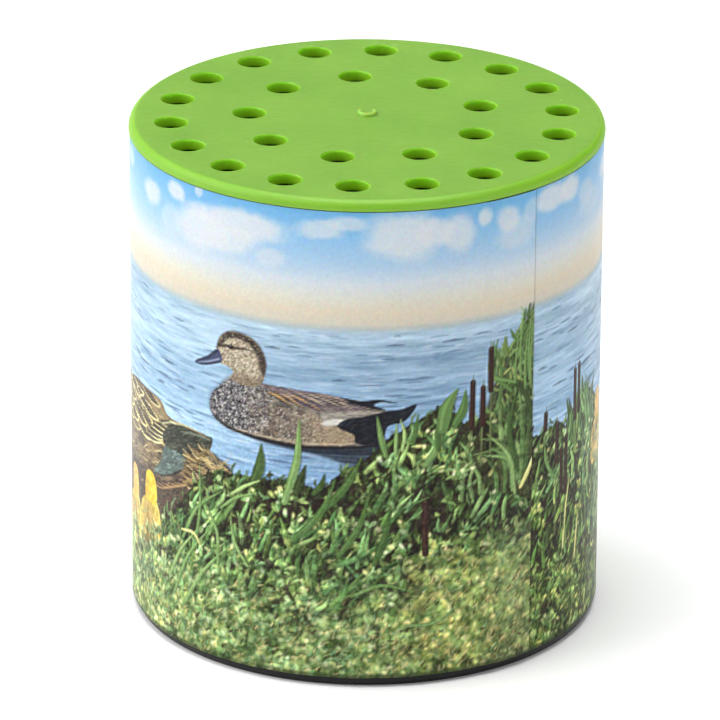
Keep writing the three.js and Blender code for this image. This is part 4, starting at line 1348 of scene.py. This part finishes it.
# ---- lid ----
LID_TOP = 65.2
LID_EDGE_R = 1.15  # radius of the lid's rounded rim
GLOW_RIM_R, RIM_GLOW = 29.2, 0.5  # the rim's points beyond this radius get half the painted glow, in place of light in the plastic
SKIRT_R, SKIRT_IN_R = 28.05, 26.9
HOLE_R = 2.05
HOLE_TURNS = 40
GATE_Y = 1.1
HOLE_RINGS = ((18, 24.7, 6.0), (9, 14.85, 16.0))  # how many holes, on what radius, and the first one's angle


def hole_places():
    """The middle of each hole in the lid."""
    for count, radius, first in HOLE_RINGS:
        for i in range(count):
            angle = math.radians(first + 360 * i / count)
            yield radius * math.cos(angle), radius * math.sin(angle)


def lid_moulding(look):
    """The pierced lid with its skirt. Each hole has a slightly raised lip."""
    under, top = box_mm("body_can")[1].z + 0.1, LID_TOP
    low = box_mm("perforated_lid")[0].z
    quarter = [math.radians(90 * k / 7) for k in range(8)]
    rim = [(OUTER_R - LID_EDGE_R * (1 - math.sin(a)),
            top - LID_EDGE_R * (1 - math.cos(a))) for a in quarter]
    rim += [(OUTER_R, under + 0.12), (OUTER_R - 0.12, under), (SKIRT_R, under), (SKIRT_R, low + 0.8),
            (SKIRT_R - 0.3, low + 0.1), (SKIRT_R - 0.55, low), (SKIRT_IN_R + 0.2, low),
            (SKIRT_IN_R, low + 0.2), (SKIRT_IN_R, under)]
    lip = [(HOLE_R + 0.46, top), (HOLE_R + 0.30, top + 0.07), (HOLE_R + 0.14, top + 0.05),
           (HOLE_R + 0.03, top - 0.07), (HOLE_R, top - 0.2), (HOLE_R - 0.03, top - 1.15),
           (HOLE_R + 0.12, under)]
    stacks = [[(circle(r, FINE_TURNS), z) for r, z in rim]]
    for x, y in hole_places():
        stacks.append([(circle(r, HOLE_TURNS, (x, y)), z) for r, z in lip])
    thing = make("lid_moulding", walled(stacks), look)
    # Painted glow: full strength on the hole walls, half strength on the outer rim.
    glow = [RIM_GLOW * (r > GLOW_RIM_R and z > under + 0.05) for r, z in rim for _ in range(FINE_TURNS)]
    hole_glow = [float(top - 1.2 < z < top - 0.05) for _, z in lip for _ in range(HOLE_TURNS)]
    glow += hole_glow * (len(stacks) - 1)
    thing.data.attributes.new("wall", "FLOAT", "POINT").data.foreach_set("value", glow)
    settle(thing, "perforated_lid", "lid")


def gate_mark(look):
    """The ragged horseshoe stub where the lid was cut from its runner."""
    rng = np.random.default_rng(5)
    rows = []
    for height, outer, inner in ((65.6, 1.05, 0.86), (65.52, 1.18, 0.74), (65.3, 1.24, 0.66),
                                 (65.15, 1.3, 0.6)):
        arc = [math.radians(v) for v in np.linspace(-212, 32, 22)]
        loop = [(outer * math.cos(a), GATE_Y + outer * math.sin(a)) for a in arc]
        loop += [(inner * math.cos(a), GATE_Y + inner * math.sin(a)) for a in arc[::-1]]
        rows.append(([(x * rng.uniform(0.95, 1.05), y + rng.uniform(-0.03, 0.03)) for x, y in loop],
                     height))
    thing = make("lid_gate_mark", walled([rows]), look, 60)
    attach(thing, "lid")


# ---- bellows ----
FOLDS = 5
FOLD_H = 2.0
FOLD_IN, FOLD_OUT = 20.0, 24.0
SKIN = 0.5


def bellows_sleeve(look):
    """A pleated sleeve with a flat flange at each end. Its folds are softly rounded and a little uneven."""
    low, high = box_mm("bellows")[0].z, box_mm("bellows")[1].z
    first = low + SKIN + 1.7
    out, back = [], []
    for k in range(4 * FOLDS + 1):
        z = first + FOLD_H * k / 4
        swing = (1 - math.cos(math.pi * k / 2)) / 2
        out.append((FOLD_IN + SKIN + (FOLD_OUT - FOLD_IN - SKIN) * swing, z))
        back.append((FOLD_IN + (FOLD_OUT - FOLD_IN - 1.6) * swing, z))
    outline = [(FOLD_IN, low), (23.1, low), (23.3, low + 0.2), (23.1, low + SKIN), (20.8, low + SKIN),
               (FOLD_IN + SKIN, low + SKIN + 0.3), *out, (FOLD_IN + SKIN, high - SKIN - 0.3),
               (20.8, high - SKIN), (23.1, high - SKIN), (23.3, high - 0.2), (23.1, high), (FOLD_IN, high),
               *back[::-1]]
    verts, faces = turned(outline, SLEEVE_TURNS)
    uneven = []
    for x, y, z in verts:
        a = math.atan2(y, x)
        r = math.hypot(x, y)
        broad, fine = 0.5 * math.sin(7 * a + z), 0.2 * math.sin(31 * a + 2.3 * z)
        crumple = broad + 0.3 * math.sin(17 * a - 1.7 * z) + fine
        scale = 1 + 0.12 * crumple * smooth(20.4, 22.5, r) * (low + 1.5 < z < high - 1.5) / r
        uneven.append((x * scale, y * scale, z))
    thing = make("bellows_sleeve", (uneven, faces), look, 75)
    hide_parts("bellows")
    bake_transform(thing)


def plain_ring(name, node, body, look, corner, inner=None, sides=TURNS):
    """A ring or disc of the CAD node's height and outer radius, with rounded corners."""
    low, high = box_mm(node)
    outer = high.x
    if inner:
        outline = rounded([(inner, low.z, corner), (outer, low.z, corner), (outer, high.z, corner),
                           (inner, high.z, corner)])
    else:
        outline = rounded([(0, low.z, 0), (outer, low.z, corner), (outer, high.z, corner), (0, high.z, 0)])
    return settle(make(name, turned(outline, sides), look), node, body)


# ---- the sounder and its reed ----
def head_moulding(look):
    """The plate on the bellows, with a boss above and a chamber with four windows below."""
    low, high = box_mm("bellows_head_plate")
    plate, deck, boss = 17.0, 18.8, high.z
    outline = rounded([
        (5.2, plate, 0.2), (6.9, plate, 0.2), (6.9, low.z, 0.2), (8.2, low.z, 0.3), (8.2, plate, 0.4),
        (23.6, plate, 0.3), (23.6, deck, 0.3), (8.0, deck, 0.3), (8.0, boss, 0.35), (5.2, boss, 0.25),
    ])
    thing = make("head_moulding", turned(outline), look)
    window = [(-9.5, -3), (9.5, -3), (9.5, 3), (-9.5, 3)]
    across = [(y, x) for x, y in window]
    cut(thing, slab(window, low.z + 2, low.z + 7), slab(across, low.z + 2, low.z + 7))
    settle(thing, "bellows_head_plate", "sounder")


def weight_turning(look):
    """The steel ring, with a groove near its edge."""
    low, high = box_mm("weight_ring")
    inner, outer = 8.2, high.x
    outline = rounded([(inner, low.z, 0.3), (outer, low.z, 0.6), (outer, high.z, 0.6), (19.6, high.z, 0.1),
                       (19.4, high.z - 0.25, 0.1), (18.9, high.z - 0.25, 0.1), (18.7, high.z, 0.1),
                       (inner, high.z, 0.35)], 3)
    settle(make("weight_turning", turned(outline, SLEEVE_TURNS), look), "weight_ring", "sounder")


def star_clip(look):
    """A push-on clip whose inner teeth grip the boss."""
    low, high = box_mm("weight_clip")
    teeth = []
    for k in range(10):
        for step, radius in ((-15, 8.12), (0, 8.12), (15, 8.12), (16.2, 9.7), (18, 9.85), (19.8, 9.7)):
            a = math.radians(36 * k + step)
            teeth.append((radius * math.cos(a), radius * math.sin(a)))
    thing = make("star_clip", slab(circle(high.x, 120), low.z + 0.15, high.z - 0.1, [teeth]), look)
    for vert in thing.data.vertices:
        reach = math.hypot(vert.co.x, vert.co.y) / MM
        vert.co.z += 0.1 * MM * max(0.0, 9.9 - reach)
    settle(soften(thing, 0.06), "weight_clip", "sounder")


def horn(look):
    """The tube above the reed, which flares to a bell."""
    low, high = box_mm("horn_tube")
    wall, straight = 0.9, 27.3
    mouth = high.x
    flare = [(5.1 + (mouth - 5.1) * (k / 6) ** 1.6,
              straight + (high.z - straight) * k / 6) for k in range(7)]
    back = [(max(4.2, r - wall), z) for r, z in flare[::-1]]
    outline = [(4.2, low.z + 0.1), (4.3, low.z), (5.0, low.z), (5.1, low.z + 0.1), *flare, *back]
    settle(make("horn", turned(outline, 96), look), "horn_tube", "sounder")


TUBE_R, TUBE_BORE_R = 3.2, 2.2
TUBE_FLAT = 1.6  # how far the tube's open flat lies from its axis
BUSH_BORE_R = 3.3
WEDGE_R = 3.1
TONGUE_T = 0.3
TONGUE_STEPS = 12
BEYOND = 5.0  # half width of the blocks that trim the reed's parts


def reed_tube(look):
    """The reed tube: closed below, bored from above and cut to an open flat on one side."""
    low, high = box_mm("reed_shallot")
    body = [(0, low.z, 0), (TUBE_R, low.z, 0.35), (TUBE_R, high.z, 0.2), (0, high.z, 0)]
    floor, above = low.z + 1.2, high.z + 1
    bore = [(0, floor, 0), (TUBE_BORE_R, floor, 0.5), (TUBE_BORE_R, above, 0), (0, above, 0)]
    side = [(TUBE_FLAT, -BEYOND), (BEYOND, -BEYOND), (BEYOND, BEYOND), (TUBE_FLAT, BEYOND)]
    tube = make("shallot", turned(rounded(body), SMALL_TURNS), look)
    cut(tube, turned(rounded(bore), SMALL_TURNS), slab(side, low.z - 1, high.z - 1))
    settle(soften(tube, 0.05), "reed_shallot", "sounder")


def reed_wedge(look):
    """The half-round wedge that grips the tongue."""
    low, high = box_mm("reed_wedge")
    wedge = make("wedge", slab(circle(WEDGE_R, SMALL_TURNS), low.z, high.z), look)
    side = [(-4, -4), (low.x, -4), (low.x, 4), (-4, 4)]
    cut(wedge, slab(side, low.z - 1, high.z + 1))
    settle(soften(wedge, 0.12), "reed_wedge", "sounder")


def reed_tongue(look):
    """The brass tongue, which curls away from the tube and has cut corners at its tip."""
    low, high = box_mm("reed_tongue")
    rows = []
    for k in range(TONGUE_STEPS + 1):
        share = max(0.0, k - 1) / (TONGUE_STEPS - 1)
        x = low.x + (high.x - TONGUE_T - low.x) * share**1.15
        wide = high.y - 0.5 * max(0.0, share - 0.94) / 0.06
        loop = [(x, -wide), (x + TONGUE_T, -wide), (x + TONGUE_T, wide), (x, wide)]
        rows.append((loop, high.z - (high.z - low.z) * k / TONGUE_STEPS))
    settle(soften(make("tongue", walled([rows]), look), 0.04), "reed_tongue", "reed")


# ---- building it ----
CLAMP_IN_R = 20.9
BUMPER_IN_R = 17.6


def build():
    """Makes every piece with its material."""
    black = moulded("black_plastic", linear(10, 10, 12), linear(20, 20, 22), (0.34, 0.52), ior=1.32)
    # The green plastic's glow colour is a painted glow on the lid's hole walls and rim.
    green = moulded("green_plastic", linear(106, 153, 38), linear(115, 161, 44), (0.46, 0.60), 0.004,
                    ior=1.5, specks=linear(186, 216, 150), painted_glow_colour=linear(124, 178, 22),
                    subsurface_weight=0.7, subsurface_scale=0.002, subsurface_radius=(0.45, 1.0, 0.2))
    natural = moulded("natural_plastic", linear(214, 210, 196), linear(230, 227, 216), (0.35, 0.5), ior=1.5,
                      subsurface_weight=0.15, subsurface_scale=0.0015)
    red = moulded("red_plastic", linear(168, 56, 46), linear(188, 70, 58), (0.16, 0.3), ior=1.5)
    steel = turned_steel()
    label_print(glossy_paper())
    case_moulding(black)
    lid_moulding(green)
    gate_mark(moulded("pale_green_plastic", linear(122, 180, 52), linear(146, 200, 80), (0.35, 0.5),
                      ior=1.5, subsurface_weight=0.8, subsurface_scale=0.002))
    grey_felt = felt("grey_felt", linear(72, 70, 66), linear(134, 131, 124))
    plain_ring("floor_felt", "floor_pad", "case", grey_felt, 0.5)
    plain_ring("bumper_foam", "lid_bumper_ring", "lid", foam(), 0.5, BUMPER_IN_R)
    plain_ring("lower_clamp", "bellows_lower_clamp", "case", natural, 0.25, CLAMP_IN_R)
    plain_ring("upper_clamp", "bellows_upper_clamp", "sounder", natural, 0.25,
               CLAMP_IN_R)
    bellows_sleeve(rubber_cloth())
    head_moulding(natural)
    weight_turning(steel)
    star_clip(spring_steel())
    horn(natural)
    reed_tube(red)
    plain_ring("reed_collar", "reed_holder", "sounder", natural, 0.2, BUSH_BORE_R,
               SMALL_TURNS)
    reed_wedge(natural)
    reed_tongue(rolled_brass())


# ---- studio ----
FLOOR_SIZE = 60.0  # metres
FLOOR_GLOW = 0.12
GLOW_START, GLOW_END = 0.9, 2.0  # distances over which the floor's glow rises to full white
HORIZON_WHITE, HORIZON_DIM = 0.03, 0.10  # heights of the white band of sky and of the dim sky above it
SKY_DIM = 0.022
LAMPS = (  # name, place, width and power of the soft lamps
    ("key", (-1.2, -0.35, 0.8), 0.9, 12.1),
    ("top", (0.0, 0.0, 1.5), 1.1, 26.0),
    ("fill", (1.3, -1.0, 0.5), 1.0, 4.0),
    ("back", (0.0, 2.5, 1.0), 2.4, 10.0),
    ("side", (-1.3, 0.55, 0.95), 1.0, 8.0),
    ("rear", (-1.5, 2.0, 0.4), 1.6, 2.5),
)


def studio():
    """A white floor and horizon, and soft lamps all round."""
    floor = link("floor", bpy.data.meshes.new("floor"))
    edge = FLOOR_SIZE / 2
    floor.data.from_pydata([(-edge, -edge, 0), (edge, -edge, 0), (edge, edge, 0), (-edge, edge, 0)], [],
                           [(0, 1, 2, 3)])
    paper = Look("backdrop_paper", emission_color=(1, 1, 1, 1))
    paper.paint(paper.mix(paper.noise(400.0, 2.0), (0.90, 0.90, 0.90, 1), (0.92, 0.92, 0.92, 1)))
    paper.shader.inputs["Roughness"].default_value = 0.9
    away = paper.node("ShaderNodeVectorMath", {0: paper.place}, operation="LENGTH").outputs["Value"]
    glow = paper.span(away, FLOOR_GLOW, 1.0, GLOW_START, GLOW_END)
    paper.tree.links.new(glow, paper.shader.inputs["Emission Strength"])
    floor.data.materials.append(paper.material)
    world = bpy.data.worlds.new("studio")
    bpy.context.scene.world = world
    world.use_nodes = True
    sky = world.node_tree
    direction = sky.nodes.new("ShaderNodeSeparateXYZ")
    sky.links.new(sky.nodes.new("ShaderNodeTexCoord").outputs["Generated"], direction.inputs[0])
    fade = sky.nodes.new("ShaderNodeMapRange")
    fade.interpolation_type = "SMOOTHSTEP"
    for socket, value in (("From Min", HORIZON_WHITE), ("From Max", HORIZON_DIM), ("To Min", 1.0),
                          ("To Max", SKY_DIM)):
        fade.inputs[socket].default_value = value
    sky.nodes["Background"].inputs["Color"].default_value = (1, 1, 1, 1)
    sky.links.new(direction.outputs["Z"], fade.inputs["Value"])
    sky.links.new(fade.outputs[0], sky.nodes["Background"].inputs["Strength"])
    for name, place, size, power in LAMPS:
        lamp = bpy.data.lights.new(name, "AREA")
        lamp.energy = power
        lamp.size = size
        light = bpy.data.objects.new(name, lamp)
        bpy.context.scene.collection.objects.link(light)
        light.location = place
        light.rotation_mode = "QUATERNION"
        light.rotation_quaternion = (MIDDLE - light.location).to_track_quat("-Z", "Y")
    bpy.context.scene.view_settings.view_transform = "Standard"


build()
studio()
